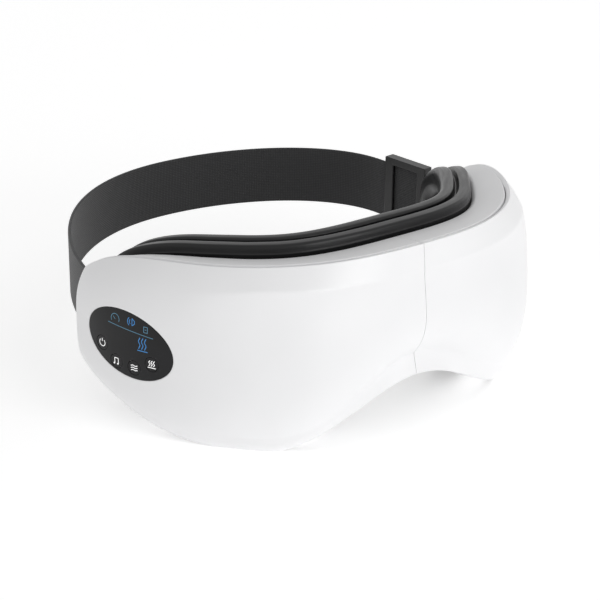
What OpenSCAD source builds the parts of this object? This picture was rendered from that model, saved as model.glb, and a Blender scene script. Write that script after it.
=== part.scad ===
// Eye massager mask: a folding visor with a face cushion, an air massage drive and an elastic head strap.
// Millimetres, +Z up, the front of the mask looks toward -Y, the control panel is on the -X temple.
// Most curved pieces are skins laid on one curve, the rim of the mask seen from above.
// A station is one angle along that curve; "out" is the distance outward from it.

/* [Mask outline] */
// Half width of the rim curve, seen from above
rim_half_width = 96; // [93:0.5:99]
// Depth of the rim curve, from the nose to its widest point
rim_depth = 137; // [131:1:143]
// Fullness of the rim curve; 2 is an ellipse, more is squarer
rim_fullness = 2.4; // [2.3:0.02:2.5]
// Height of the rim above the table at the nose
rim_height = 74.5; // [72.5:0.5:76.5]
// How much lower the rim is at the temples
rim_drop = 5; // [3.5:0.5:6.5]
// Depth of the mask from the nose to the temple tip
temple_depth = 81; // [80:0.25:82]
// Height of the nose arch above the table
arch_height = 22; // [20:0.5:23]
// Half width of the nose arch at the table
arch_half_width = 62; // [59:0.5:65]
// Lift of the lower edge at the temples
temple_lift = 8; // [6:0.5:9]

/* [Front shell] */
// Thickness of the white front shell
shell_wall = 2; // [1.8:0.1:2.2]
// How far the crease stands in front of the rim at the pods
crease_proud = 7; // [6:0.25:8]
// How far the crease stands in front of the rim at the nose
crease_nose = 3; // [2:0.25:4]
// Crown of the front face between its two creases
face_crown = 4.5; // [3.5:0.25:5.5]
// Height of the band between the crease and the rim
band_height = 9.7; // [8.5:0.25:11]
// Outward swell of the temple ends
temple_swell = 11; // [10:0.25:12]
// Width of the fold seam at the nose
seam_gap = 0.4; // [0.3:0.05:0.6]

/* [Rear frame] */
// Thickness of the grey rear frame
frame_wall = 2; // [1.8:0.1:2.2]
// Width of the grey ledge at the nose
ledge_nose = 15; // [14.5:0.25:15.5]
// Width of the grey ledge at the pods
ledge_pod = 13; // [12.5:0.25:13.5]
// Width of the grey ledge at the temple tips
ledge_temple = 7.5; // [7.25:0.25:8]

/* [Face cushion] */
// Thickness of the cushion, from the frame to the face
cushion_depth = 12.5; // [11:0.25:14]
// Height of the lips above the grey ledge
lip_rise = 4.5; // [3.5:0.25:5.5]
// Width of the cushion inward from the ledge
cushion_width = 7.4; // [6.5:0.2:8.5]

/* [Control panel] */
// Length of the oval panel
panel_length = 39; // [37:0.5:40]
// Height of the oval panel
panel_height = 25.4; // [24.4:0.2:26.4]
// Slope of the panel's long axis, lower toward the nose
panel_slope = 11; // [8:1:14]
// Diameter of the four keys
key_diameter = 5.6; // [5.2:0.1:6]
// Travel of the keys
key_travel = 0.35; // [0.2:0.05:0.4]

/* [Fold hinge] */
// Diameter of the hinge pin
hinge_pin_d = 2.5; // [2.2:0.1:2.8]
// Diameter of the hinge knuckles
knuckle_d = 6; // [5.6:0.1:6.4]

/* [Head strap] */
// Width of the elastic strap
strap_width = 25.5; // [24:0.25:26]
// Thickness of the elastic strap
strap_thick = 1.3; // [1.1:0.05:1.4]
// Reach of the strap behind the middle of the object
strap_reach = 91.5; // [84:0.5:100]
// Length of the slide adjuster along the strap
buckle_length = 24; // [22:0.5:26]

/* [Inside] */
// Diameter of the air pump
pump_d = 12; // [11.5:0.1:12.4]
// Width of the battery pouch
battery_w = 23; // [20:0.5:24]
// Thickness of the battery pouch
battery_t = 7; // [5.5:0.25:7.5]
// Diameter of the loudspeaker
speaker_d = 15; // [13:0.5:16]
// Thickness of the inflatable bladders when empty
bladder_t = 2.8; // [2.5:0.1:3.2]

/* [Hidden] */
$fn = 48;
// Assembly gap between pieces that touch
fit = 0.1;
// Place of the rim curve at the nose
front_y = -87;
// Middle height of the temple tips
temple_z = rim_height / 2 + 3.75;

// Smooth step from 0 to 1
function ease(t) = let (c = min(1, max(0, t))) c * c * (3 - 2 * c);
function mix(a, b, t) = a + (b - a) * t;

// The rim curve: a superellipse seen from above
function rim_x(p) = rim_half_width * pow(sin(p), 2 / rim_fullness);
function rim_y(p) = front_y + rim_depth * (1 - pow(cos(p), 2 / rim_fullness));
// Direction pointing outward, square to the curve
function rim_normal(p) =
    let (u = pow(rim_x(p) / rim_half_width, rim_fullness - 1) / rim_half_width,
        v = pow(cos(p), 2 * (rim_fullness - 1) / rim_fullness) / rim_depth,
        len = sqrt(u * u + v * v))
    [u / len, -v / len];
// Turn of the curve about +Z
function rim_turn(p) = let (n = rim_normal(p)) atan2(n[0], -n[1]);
// Station whose rim point has a given depth behind the nose
function station_at_depth(d) = acos(pow(1 - d / rim_depth, rim_fullness / 2));
// Station whose rim point has a given distance from the middle
function station_at_x(x) = asin(pow(x / rim_half_width, rim_fullness / 2));
// A point out from the rim at a station, at height z
function out_point(p, out, z) =
    let (n = rim_normal(p))
    [rim_x(p) + n[0] * out, rim_y(p) + n[1] * out, z];
// A point in the local axes of a station: x along the curve, y inward, z up
function local_point(p, x, y, z) =
    let (n = rim_normal(p))
    [rim_x(p) - n[1] * x - n[0] * y, rim_y(p) + n[0] * x - n[1] * y, z];

first_station = station_at_x(seam_gap / 2);
last_station = station_at_depth(temple_depth);

// The temple tip rounds off over a length, down to what the strap needs at its end
tip_length = 40;
strap_room = 6;
tip_fullness = 2.4;
rim_at_tip = rim_height - rim_drop * pow(rim_x(last_station) / rim_half_width, 2);
tip_end_share = (strap_width / 2 + strap_room) / (rim_at_tip - temple_z);
tip_reach = tip_length / pow(1 - pow(tip_end_share, tip_fullness), 1 / tip_fullness);
// How much of the full height is left near the rounded temple tip
function tip_share(p) =
    let (k = max(0, (rim_y(p) - front_y - temple_depth + tip_length) / tip_reach))
    pow(1 - pow(k, tip_fullness), 1 / tip_fullness);
// Height of the rim
function rim_z(p) =
    let (full = rim_height - rim_drop * pow(rim_x(p) / rim_half_width, 2))
    mix(temple_z, full, tip_share(p));
// Height of the lower edge: the nose arch, the flat foot of the pod, the lift to the temple
function edge_z(p) =
    let (arch = (arch_height + 1.2) * pow(cos(min(90, 90 * rim_x(p) / arch_half_width)), 2) - 1.2,
        lift = temple_lift * ease((rim_y(p) - front_y - 28) / 50))
    mix(temple_z, max(0, arch) + lift, tip_share(p));

// Front shell, one section from the lower edge to the rim, as [out, z]
shell_top_out = shell_wall - fit;
shell_edge_out = 0.8;
face_steps = 11;
// The crown is fullest below the middle and runs out flat at the crease
crown_skew = 1.5;
function shell_section(p) =
    let (x = rim_x(p), top = rim_z(p), low = edge_z(p), share = tip_share(p),
        nose = 1 - ease((x - 4) / 44),
        fade = ease((x - 54) / 24),
        crease_out = mix(crease_nose, crease_proud, ease(x / 62)),
        crease_z = rim_height - band_height + 2 * pow(x / rim_half_width, 2),
        skirt_out = mix(crease_proud - 1, -1.5, nose),
        skirt_z = low + mix(7, 8, nose),
        end_out = temple_swell * share,
        lower = [for (t = [0, 0.34, 0.67])
            [mix(mix(shell_edge_out, skirt_out, sin(90 * t)), mix(shell_edge_out, skirt_out, t), nose),
             mix(mix(low, skirt_z, 1 - cos(90 * t)), mix(low, skirt_z, t), nose), 0.1 * t]],
        face = [for (i = [0 : face_steps])
            let (t = i / face_steps, u = 1 - pow(1 - t, crown_skew))
            [mix(skirt_out, crease_out, t) + face_crown * 4 * u * (1 - u), mix(skirt_z, crease_z, t),
             mix(0.1, 0.87, t)]],
        band = [for (t = [0.34, 0.67, 1])
            [mix(crease_out, shell_top_out, t), mix(crease_z, top, t), mix(0.87, 1, t)]])
    [for (s = concat(lower, face, band))
        let (round_out = mix(shell_top_out, end_out, 1 - pow(abs(2 * s[2] - 1), 3.6)))
        [mix(s[0], round_out, fade), mix(s[1], mix(low, top, s[2]), fade)]];
// The same section moved inward by the wall
function inner_section(s, wall) =
    [for (i = [0 : len(s) - 1])
        let (a = s[max(0, i - 1)], b = s[min(len(s) - 1, i + 1)], d = b - a, len = norm(d),
            edge = i == 0 || i == len(s) - 1)
        edge ? [s[i][0] - wall, s[i][1]] : [s[i][0] - wall * d[1] / len, s[i][1] + wall * d[0] / len]];
// How far the front surface stands out at a station and a height
function face_out(p, z) = lookup(z, [for (s = shell_section(p)) [s[1], s[0]]]);

// Width of the grey ledge at a station
function ledge(p) =
    ledge_nose + (ledge_pod - ledge_nose) * ease(p / 30) + (ledge_temple - ledge_pod) * ease((p - 40) / 32);
ledge_fall = 2;
// Rear frame, one section from the rim over the ledge, down the rear wall and forward along the floor.
// The inset moves the section inward for the inner face.
frame_round = 2.5;
frame_rows = 4;
function frame_section(p, inset) =
    let (top = rim_z(p), low = edge_z(p), back = -ledge(p) + inset, roof = top - ledge_fall - inset,
        floor = low + inset, r = frame_round)
    concat(
        [[shell_top_out - shell_wall - fit, top - inset],
            [mix(-0.2, back, 0.45), mix(top, roof + inset, 0.45) - inset]],
        [for (a = [0, 45, 90]) [back + r - r * sin(a), roof - r + r * cos(a)]],
        [for (i = [1 : frame_rows]) [back, mix(roof - r, floor + r, i / (frame_rows + 1))]],
        [for (a = [0, 45, 90]) [back + r - r * cos(a), floor + r - r * sin(a)]],
        [[shell_edge_out - shell_wall - fit, floor]]);

// A closed solid between two grids of points that match row by row.
// The first grid is the side whose rows, then columns, turn clockwise as seen from outside.
module skin(outer, inner) {
    rows = len(outer);
    cols = len(outer[0]);
    total = rows * cols;
    points = concat([for (r = outer) each r], [for (r = inner) each r]);
    function at(i, j) = i * cols + j;
    faces = concat(
        [for (i = [0 : rows - 2], j = [0 : cols - 2]) each [
            [at(i, j), at(i + 1, j), at(i + 1, j + 1)],
            [at(i, j), at(i + 1, j + 1), at(i, j + 1)],
            [total + at(i, j), total + at(i + 1, j + 1), total + at(i + 1, j)],
            [total + at(i, j), total + at(i, j + 1), total + at(i + 1, j + 1)]]],
        [for (i = [0 : rows - 2]) each [
            [at(i, 0), total + at(i, 0), total + at(i + 1, 0)],
            [at(i, 0), total + at(i + 1, 0), at(i + 1, 0)],
            [at(i, cols - 1), total + at(i + 1, cols - 1), total + at(i, cols - 1)],
            [at(i, cols - 1), at(i + 1, cols - 1), total + at(i + 1, cols - 1)]]],
        [for (j = [0 : cols - 2]) each [
            [at(0, j), at(0, j + 1), total + at(0, j + 1)],
            [at(0, j), total + at(0, j + 1), total + at(0, j)],
            [at(rows - 1, j), total + at(rows - 1, j + 1), at(rows - 1, j + 1)],
            [at(rows - 1, j), total + at(rows - 1, j), total + at(rows - 1, j + 1)]]]);
    polyhedron(points = points, faces = faces, convexity = 8);
}

// A closed tube of equal loops of points, with flat ends
module loop_tube(loops) {
    rows = len(loops);
    cols = len(loops[0]);
    function at(i, j) = i * cols + (j % cols);
    faces = concat(
        [for (i = [0 : rows - 2], j = [0 : cols - 1]) each [
            [at(i, j), at(i, j + 1), at(i + 1, j + 1)],
            [at(i, j), at(i + 1, j + 1), at(i + 1, j)]]],
        [[for (j = [cols - 1 : -1 : 0]) at(0, j)]],
        [[for (j = [0 : cols - 1]) at(rows - 1, j)]]);
    polyhedron(points = [for (l = loops) each l], faces = faces, convexity = 8);
}

// Stands its children in the local axes of a station: x along the curve, y inward, z up
module at_station(p) {
    translate([rim_x(p), rim_y(p), 0])
        rotate([0, 0, rim_turn(p)])
            children();
}
// A cylinder along local y, from y0 to y1
module y_rod(x, z, d, y0, y1) {
    translate([x, y0, z])
        rotate([-90, 0, 0])
            cylinder(d = d, h = y1 - y0);
}
// A cylinder along local x, from x0 to x1
module x_rod(y, z, d, x0, x1) {
    translate([x0, y, z])
        rotate([0, 90, 0])
            cylinder(d = d, h = x1 - x0);
}
// A box from one corner to the other
module block(a, b) {
    translate(a)
        cube(b - a);
}
// The pieces are written for the +X side; the -X side is their mirror image
module left_side() {
    mirror([1, 0, 0])
        children();
}

// Stations of the shell and the frame, closer together at the nose and round the temple tip
half_stations = concat(
    [for (i = [0 : 16]) mix(first_station, 54, pow(i / 16, 1.3))],
    [for (i = [1 : 8]) mix(54, last_station, i / 8)]);

module shell_half() {
    sections = [for (p = half_stations) shell_section(p)];
    outer = [for (i = [0 : len(half_stations) - 1])
        [for (s = sections[i]) out_point(half_stations[i], s[0], s[1])]];
    inner = [for (i = [0 : len(half_stations) - 1])
        [for (s = inner_section(sections[i], shell_wall)) out_point(half_stations[i], s[0], s[1])]];
    skin(inner, outer);
}

// The oval panel stands in the local axes of its own station
panel_station = 57.6;
panel_z = 39.2;
panel_key_depth = 2.6;
// Places of the four keys along the lower edge of the oval: along the curve, and height
key_places = [[panel_length / 2 - 7.3, -2.6], [5.3, 4.7 - panel_height / 2],
    [-2.9, 4.1 - panel_height / 2], [8.9 - panel_length / 2, -5.4]];
module panel_oval(clearance, y0, y1) {
    a = panel_length / 2 + clearance;
    b = panel_height / 2 + clearance;
    translate([0, y1, panel_z])
        rotate([90, 0, 0])
            linear_extrude(height = y1 - y0)
                rotate(panel_slope)
                    polygon([for (i = [0 : 47]) [a * cos(i * 7.5), b * sin(i * 7.5)]]);
}
// Local y of the front surface at a place on the panel
function panel_front(x, z) =
    let (n = rim_normal(panel_station),
        p = panel_station + x / 2.16,
        q = out_point(p, face_out(p, z), z))
    -((q[0] - rim_x(panel_station)) * n[0] + (q[1] - rim_y(panel_station)) * n[1]);

module shell_left() {
    color("#f2f2f2")
        left_side()
            difference() {
                shell_half();
                at_station(panel_station)
                    panel_oval(fit, -14, 4);
            }
}
module shell_right() {
    color("#f2f2f2")
        shell_half();
}

// The hinge stands at the rear face of the nose bridge
hinge_y = front_y + ledge_nose;
hinge_low = arch_height + 15;
hinge_high = rim_height - 10.5;
knuckle_gap = 0.2;
knuckle_h = (hinge_high - hinge_low - 4 * knuckle_gap) / 5;
leaf_t = 1.2;
web_x = 0.3 + leaf_t + fit;
web_t = 2;
leaf_front = hinge_y - 10.5;
hinge_screw_z = [hinge_low + 5, hinge_high - 5];

// Where the carriers stand, and their screws: station and height
pod_station = 27.5;
carrier_back = ledge_pod - frame_wall - 0.25;
carrier_t = 1.5;
carrier_front = carrier_back - carrier_t;
carrier_low = 12;
carrier_high = rim_height - 12;
carrier_screws = [[18.5, carrier_high - 3.5], [38, carrier_high - 3.5], [37, carrier_low + 4]];
screw_d = 2;
head_d = 3.8;
head_h = 1;
// The bladder inlets stand outside the carriers
inlet_station = 44;
inlet_z = 40;
inlet_d = 3;
// The charging socket looks down through the floor near the left temple
socket_station = 47;
socket_w = 9;
socket_t = 3.2;
socket_h = 7;
charge_board_t = 1.2;
socket_back = ledge(socket_station + 3.6) - frame_wall - charge_board_t;
// The display board stands on three posts from the rear wall
board_y = -0.4;
board_t = 1;
board_posts = [[-12, 6], [12, 6], [9, -9]];
// Local y in the middle of the rear wall, at a distance along the curve from the panel
function post_end(x) = ledge(panel_station + x / 2.05) - frame_wall / 2 + x * x / 260;
tube_d = 3.2;
cross_y = hinge_y - 7.5;
cross_z = rim_height - 7.3;

module frame_half() {
    outer = [for (p = half_stations) [for (s = frame_section(p, 0)) out_point(p, s[0], s[1])]];
    inner = [for (p = half_stations) [for (s = frame_section(p, frame_wall)) out_point(p, s[0], s[1])]];
    difference() {
        union() {
            skin(inner, outer);
            // Web that closes the frame at the fold and carries the hinge leaf
            translate([web_x + web_t, 0, 0])
                rotate([0, -90, 0])
                    linear_extrude(height = web_t)
                        polygon([
                            [arch_height + 0.9, leaf_front], [rim_height - 1.6, leaf_front],
                            [rim_height - ledge_fall - 1, hinge_y - 1], [arch_height + 0.9, hinge_y - 1]]);
        }
        // Room for the hinge knuckles
        translate([0, hinge_y, hinge_low - 0.5])
            cylinder(d = knuckle_d + 1, h = hinge_high - hinge_low + 1);
        for (z = hinge_screw_z)
            x_rod(hinge_y - 7, z, screw_d + 0.04, 0, web_x + web_t + 1);
        x_rod(cross_y, cross_z, tube_d + 0.3, 0, web_x + web_t + 1);
        // Carrier screws, with flush heads on the face side
        for (s = carrier_screws)
            at_station(s[0]) {
                y_rod(0, s[1], screw_d + 0.1, 0, ledge(s[0]) + 1);
                y_rod(0, s[1], head_d + 0.2, ledge(s[0]) - head_h - 0.05, ledge(s[0]) + 1);
            }
        // Hole for the bladder inlet
        at_station(inlet_station)
            y_rod(0, inlet_z, inlet_d + 0.2, 4, ledge(inlet_station) + 1);
    }
}
module frame_left() {
    color("#b9bcc0")
        left_side()
            difference() {
                union() {
                    frame_half();
                    at_station(panel_station)
                        for (s = board_posts)
                            y_rod(s[0], panel_z + s[1], 3, board_y + board_t + 0.05, post_end(s[0]));
                }
                at_station(socket_station)
                    block([-socket_w / 2 - 0.15, socket_back - socket_t - 0.15, -3],
                        [socket_w / 2 + 0.15, socket_back + 0.15, edge_z(socket_station) + 4]);
            }
}
module frame_right() {
    color("#b9bcc0")
        frame_half();
}

// The cushion runs along the top, round the temple and back along the lower edge to the nose
ring_station = 68;
ring_low_rise = lip_rise + 1.2;
ring_run_steps = 13;
ring_turn_steps = 18;
ring_steps = 2 * ring_run_steps + ring_turn_steps;
ring_run_share = 0.9;
// Power of the ring's superellipse: higher is squarer
ring_power = 8;
// The ring is a squarish superellipse: a run along the top, a turn at the temple, a run along the bottom.
// Its angle falls from 90 at the top of the nose to -90 at the bottom.
ring_corner = acos(pow(ring_run_share, ring_power / 2));
function run_angle(i) = acos(pow(ring_run_share * i / ring_run_steps, ring_power / 2));
function ring_angle(i) =
    i <= ring_run_steps ? run_angle(i)
    : i >= ring_steps - ring_run_steps ? -run_angle(ring_steps - i)
    : mix(ring_corner, -ring_corner, (i - ring_run_steps) / ring_turn_steps);
function ring_place(i) =
    let (a = ring_angle(i), c = pow(max(0, cos(a)), 2 / ring_power), s = pow(abs(sin(a)), 2 / ring_power),
        p = mix(first_station, ring_station, c),
        top = rim_z(p) - ledge_fall, low = edge_z(p) + ring_low_rise)
    [p, a >= 0 ? mix(temple_z, top, s) : mix(temple_z, low, s)];
// The rear wall, and how far a point on it moves per degree of station
cushion_gap = 0.25;
function wall_point(p, z) = out_point(p, -ledge(p), z);
function wall_speed(p) = norm(wall_point(p + 1, 0) - wall_point(p, 0));
function ring_point(i) =
    let (q = ring_place(i))
    wall_point(q[0], q[1]);
// Section of the cushion: two rounded lips with a groove between; [across, toward the face]
cushion_section = [
    [-cushion_width + 0.6, 0], [0, 0], [lip_rise * 0.55, 0.25], [lip_rise * 0.86, 1.3],
    [lip_rise * 0.95, 3], [lip_rise * 0.8, 4.9], [lip_rise * 0.5, 5.9], [lip_rise * 0.82, 6.9],
    [lip_rise, 8.8], [lip_rise * 0.9, cushion_depth - 1.8], [lip_rise * 0.5, cushion_depth - 0.4],
    [-1, cushion_depth], [-cushion_width * 0.62, cushion_depth - 0.6],
    [-cushion_width * 0.93, cushion_depth - 2.2], [-cushion_width, cushion_depth * 0.6],
    [-cushion_width, cushion_depth * 0.25]];
function cushion_loop(i) =
    let (along = ring_point(min(ring_steps, i + 1)) - ring_point(max(0, i - 1)),
        q = ring_place(i), n = rim_normal(q[0]), inward = [-n[0], -n[1], 0], tangent = [-n[1], n[0], 0],
        end = i == 0 || i == ring_steps,
        across = end ? [0, 0, i == 0 ? 1 : -1] : cross(along, inward), unit = across / norm(across),
        turn = unit * tangent / wall_speed(q[0]))
    [for (s = cushion_section)
        let (p = q[0] + turn * s[0])
        out_point(p, -ledge(p) - cushion_gap - s[1], q[1] + unit[2] * s[0])];
module cushion_half() {
    loop_tube([for (i = [0 : ring_steps]) cushion_loop(i)]);
}
module cushion_left() {
    color("#1c1c1e")
        left_side()
            cushion_half();
}
module cushion_right() {
    color("#1c1c1e")
        cushion_half();
}

// Soft layers behind the rear wall inside the cushion: bladder, heating film, lining.
// The lining runs on to the fold; the other two have rounded ends on both sides of the eye.
layer_from = 8.5;
layer_to = 59;
layer_rows = 14;
layer_cols = 9;
function layer_place(u, v, from, round_both) =
    let (p = mix(from, layer_to, u),
        top = rim_z(p) - ledge_fall - cushion_width - 1.5,
        low = edge_z(p) + ring_low_rise + cushion_width + 1.5,
        w = round_both ? abs(2 * u - 1) : u,
        mid = (top + low) / 2, half = (top - low) / 2 * (0.35 + 0.65 * pow(1 - pow(w, 4), 1 / 4)))
    [p, mid + half * (2 * v - 1)];
// A pillow is thinner at its border and fullest in the middle
function pillow(u, v) = (1 - pow(2 * u - 1, 4)) * (1 - pow(2 * v - 1, 4));
function layer_grid(depth, crown, from, round_both) =
    [for (i = [0 : layer_rows])
        [for (j = [0 : layer_cols])
            let (u = i / layer_rows, v = j / layer_cols, q = layer_place(u, v, from, round_both))
            out_point(q[0], -ledge(q[0]) - depth - crown * pillow(u, v), q[1])]];
bladder_back = 0.05 + bladder_t;
heater_t = 0.4;
heater_back = max(bladder_back + 0.05 + heater_t, knuckle_d / 2 + 0.15);
lining_edge_t = 1.6;
lining_crown = 2;
module lining_half() {
    skin(layer_grid(heater_back + 0.05 + lining_edge_t, lining_crown, first_station, false),
        layer_grid(heater_back + 0.05, 0, first_station, false));
}
module heater_half() {
    skin(layer_grid(heater_back, 0, layer_from, true), layer_grid(bladder_back + 0.05, 0, layer_from, true));
}
module bladder_half() {
    skin(layer_grid(bladder_back, 0, layer_from, true), layer_grid(0.05, 0, layer_from, true));
    // Inlet through the rear wall
    at_station(inlet_station)
        y_rod(0, inlet_z, inlet_d, ledge(inlet_station) - frame_wall - 3, ledge(inlet_station) + 0.6);
}
module lining_left() { color("#222224") left_side() lining_half(); }
module lining_right() { color("#222224") lining_half(); }
module heater_left() { color("#b5763a") left_side() heater_half(); }
module heater_right() { color("#b5763a") heater_half(); }
module bladder_left() { color("#8a8d92") left_side() bladder_half(); }
module bladder_right() { color("#8a8d92") bladder_half(); }

// The glossy lens follows the front surface; the keys stand in four round holes in it
lens_t = 1.6;
key_hole_gap = 0.1;
module panel_patch() {
    stations = [for (i = [0 : 12]) panel_station + mix(-11, 10.5, i / 12)];
    heights = [for (j = [0 : 10]) panel_z + mix(-16.5, 16.5, j / 10)];
    front = [for (p = stations) [for (z = heights) out_point(p, face_out(p, z), z)]];
    back = [for (p = stations) [for (z = heights) out_point(p, face_out(p, z) - lens_t, z)]];
    skin(back, front);
}
module panel_lens() {
    color("#0b0b0d")
        left_side()
            difference() {
                intersection() {
                    panel_patch();
                    at_station(panel_station)
                        panel_oval(0, -14, 4);
                }
                at_station(panel_station)
                    for (k = key_places)
                        y_rod(k[0], panel_z + k[1], key_diameter + 2 * key_hole_gap, -14, 4);
            }
}
switch_t = 1.5;
switch_front = board_y - 0.02 - switch_t;
module key_cap(i) {
    k = key_places[i];
    color("#121214")
        left_side()
            at_station(panel_station)
                y_rod(k[0], panel_z + k[1], key_diameter, panel_front(k[0], panel_z + k[1]) + 0.05,
                    switch_front - key_travel - 0.1);
}
module key_power() { key_cap(0); }
module key_music() { key_cap(1); }
module key_mode() { key_cap(2); }
module key_heat() { key_cap(3); }
module key_switches() {
    color("#c9c9c9")
        left_side()
            at_station(panel_station)
                for (k = key_places)
                    block([k[0] - 1.9, switch_front, panel_z + k[1] - 1.9],
                        [k[0] + 1.9, board_y - 0.02, panel_z + k[1] + 1.9]);
}
display_half = panel_length / 2 - 10.5;
module display_module() {
    color("#1d2a4a")
        left_side()
            at_station(panel_station)
                block([-display_half, board_y - 2.3, panel_z - 2.6],
                    [display_half, board_y - 0.02, panel_z + 8.5]);
}
module display_board() {
    color("#1f5a35")
        left_side()
            at_station(panel_station)
                block([-16, board_y, panel_z - 11.2], [15.5, board_y + board_t, panel_z + 9.5]);
}

// Hinge leaf with three knuckles on the left and two on the right; n counts from the table
module knuckle(n, bore) {
    z = hinge_low + n * (knuckle_h + knuckle_gap);
    difference() {
        translate([0, hinge_y, z])
            cylinder(d = knuckle_d, h = knuckle_h);
        translate([0, hinge_y, z - 1])
            cylinder(d = bore, h = knuckle_h + 2);
    }
}
module leaf_plate(other) {
    difference() {
        block([0.3, leaf_front + 0.6, hinge_low],
            [0.3 + leaf_t, hinge_y - hinge_pin_d / 2 - 0.4, hinge_high]);
        for (n = other)
            translate([0, hinge_y, hinge_low + n * (knuckle_h + knuckle_gap) - knuckle_gap])
                cylinder(d = knuckle_d + 0.5, h = knuckle_h + 2 * knuckle_gap);
        for (z = hinge_screw_z) {
            x_rod(hinge_y - 7, z, screw_d + 0.1, 0, 3);
            x_rod(hinge_y - 7, z, head_d + 0.2, 0, 0.3 + 0.75);
        }
    }
}
module hinge_leaf_left() {
    color("#9aa0a6") {
        left_side()
            leaf_plate([1, 3]);
        for (n = [0, 2, 4])
            knuckle(n, hinge_pin_d + 0.02);
    }
}
module hinge_leaf_right() {
    color("#9aa0a6") {
        leaf_plate([0, 2, 4]);
        for (n = [1, 3])
            knuckle(n, hinge_pin_d + 0.06);
    }
}
module hinge_pin() {
    color("#cfd3d8")
        translate([0, hinge_y, hinge_low])
            cylinder(d = hinge_pin_d, h = hinge_high - hinge_low);
}
module hinge_screw_pair() {
    for (z = hinge_screw_z) {
        x_rod(hinge_y - 7, z, screw_d, 0.35, web_x + web_t);
        x_rod(hinge_y - 7, z, head_d, 0.35, 0.35 + 0.65);
    }
}
module hinge_screws_left() { color("#cfd3d8") left_side() hinge_screw_pair(); }
module hinge_screws_right() { color("#cfd3d8") hinge_screw_pair(); }

// Each pod has a carrier: a flat plate on three posts, screwed to the rear wall
carrier_half = 21;
pump_x = 12.2;
pump_y = carrier_front - fit - pump_d / 2;
vib_d = 6;
vib_y = carrier_front - fit - vib_d / 2;
vib_z = carrier_low + 6.5;
module carrier_half_body() {
    difference() {
        union() {
            at_station(pod_station)
                block([-carrier_half, carrier_front, carrier_low],
                    [carrier_half, carrier_back, carrier_high]);
            for (s = carrier_screws)
                at_station(s[0])
                    y_rod(0, s[1], 5, ledge(s[0]) - frame_wall - 3, ledge(s[0]) - frame_wall - fit);
        }
        for (s = carrier_screws)
            at_station(s[0])
                y_rod(0, s[1], screw_d + 0.04, -5, ledge(s[0]));
    }
}
// Pair of ribs on the carrier that hold a round body
module cradle(x, z0, z1, d) {
    for (side = [-1, 1])
        translate([x + side * (d / 2 + 0.7), 0, 0])
            block([-0.6, carrier_front - d / 2, z0], [0.6, carrier_front + 0.5, z1]);
}
module carrier_left() {
    color("#e4e4e0")
        left_side() {
            carrier_half_body();
            at_station(pod_station)
                for (x = [-18, 0], z = [carrier_low + 16, carrier_high - 4.5])
                    y_rod(x, z, 3.4, main_board_y + main_board_t + 0.05, carrier_front + 0.5);
        }
}
module carrier_right() {
    color("#e4e4e0") {
        carrier_half_body();
        at_station(pod_station)
            cradle(pump_x, pump_low + 6, pump_low + 16, pump_d);
    }
}
module carrier_screw_set() {
    for (s = carrier_screws)
        at_station(s[0]) {
            y_rod(0, s[1], screw_d, ledge(s[0]) - 5, ledge(s[0]) - 0.1);
            y_rod(0, s[1], head_d, ledge(s[0]) - head_h, ledge(s[0]) - 0.1);
        }
}
module carrier_screws_left() { color("#cfd3d8") left_side() carrier_screw_set(); }
module carrier_screws_right() { color("#cfd3d8") carrier_screw_set(); }

// Left pod: main board on four posts, loudspeaker, vibration motor
main_board_y = 5.2;
main_board_t = 1.2;
module main_board() {
    color("#1f5a35")
        left_side()
            at_station(pod_station) {
                block([-20.5, main_board_y, carrier_low + 13],
                    [2.5, main_board_y + main_board_t, carrier_high - 1]);
                // Controller and radio module
                block([-15, main_board_y - 1.2, carrier_low + 28],
                    [-7, main_board_y + 0.2, carrier_low + 36]);
                block([-12, main_board_y - 1.6, carrier_low + 16],
                    [-1, main_board_y + 0.2, carrier_low + 24]);
            }
}
speaker_z = carrier_high - 12.5;
module speaker() {
    color("#3a3a3c")
        left_side()
            at_station(pod_station)
                difference() {
                    y_rod(12.4, speaker_z, speaker_d, carrier_front - fit - 4, carrier_front - fit);
                    y_rod(12.4, speaker_z, speaker_d - 3, carrier_front - fit - 5, carrier_front - fit - 3);
                }
}

// Vibration motor: a can with a shaft hole, and an eccentric weight on its shaft
module vib_motor() {
    at_station(pod_station) {
        difference() {
            x_rod(vib_y, vib_z, vib_d, -18, -6);
            x_rod(vib_y, vib_z, 1.06, -8, -5);
        }
        block([-18, vib_y + 1, vib_z - 2.2], [-6, carrier_front - 0.05, vib_z + 2.2]);
    }
}
module vib_weight() {
    at_station(pod_station) {
        x_rod(vib_y, vib_z, 1, -7.8, -1.8);
        difference() {
            x_rod(vib_y, vib_z, 5, -5.6, -1.8);
            translate([-6, vib_y - 3, vib_z + 0.4])
                cube([5, 6, 4]);
        }
    }
}
module vib_motor_left() { color("#b8bcc2") left_side() vib_motor(); }
module vib_motor_right() { color("#b8bcc2") vib_motor(); }
module vib_weight_left() { color("#8f7a55") left_side() vib_weight(); }
module vib_weight_right() { color("#8f7a55") vib_weight(); }

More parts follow.
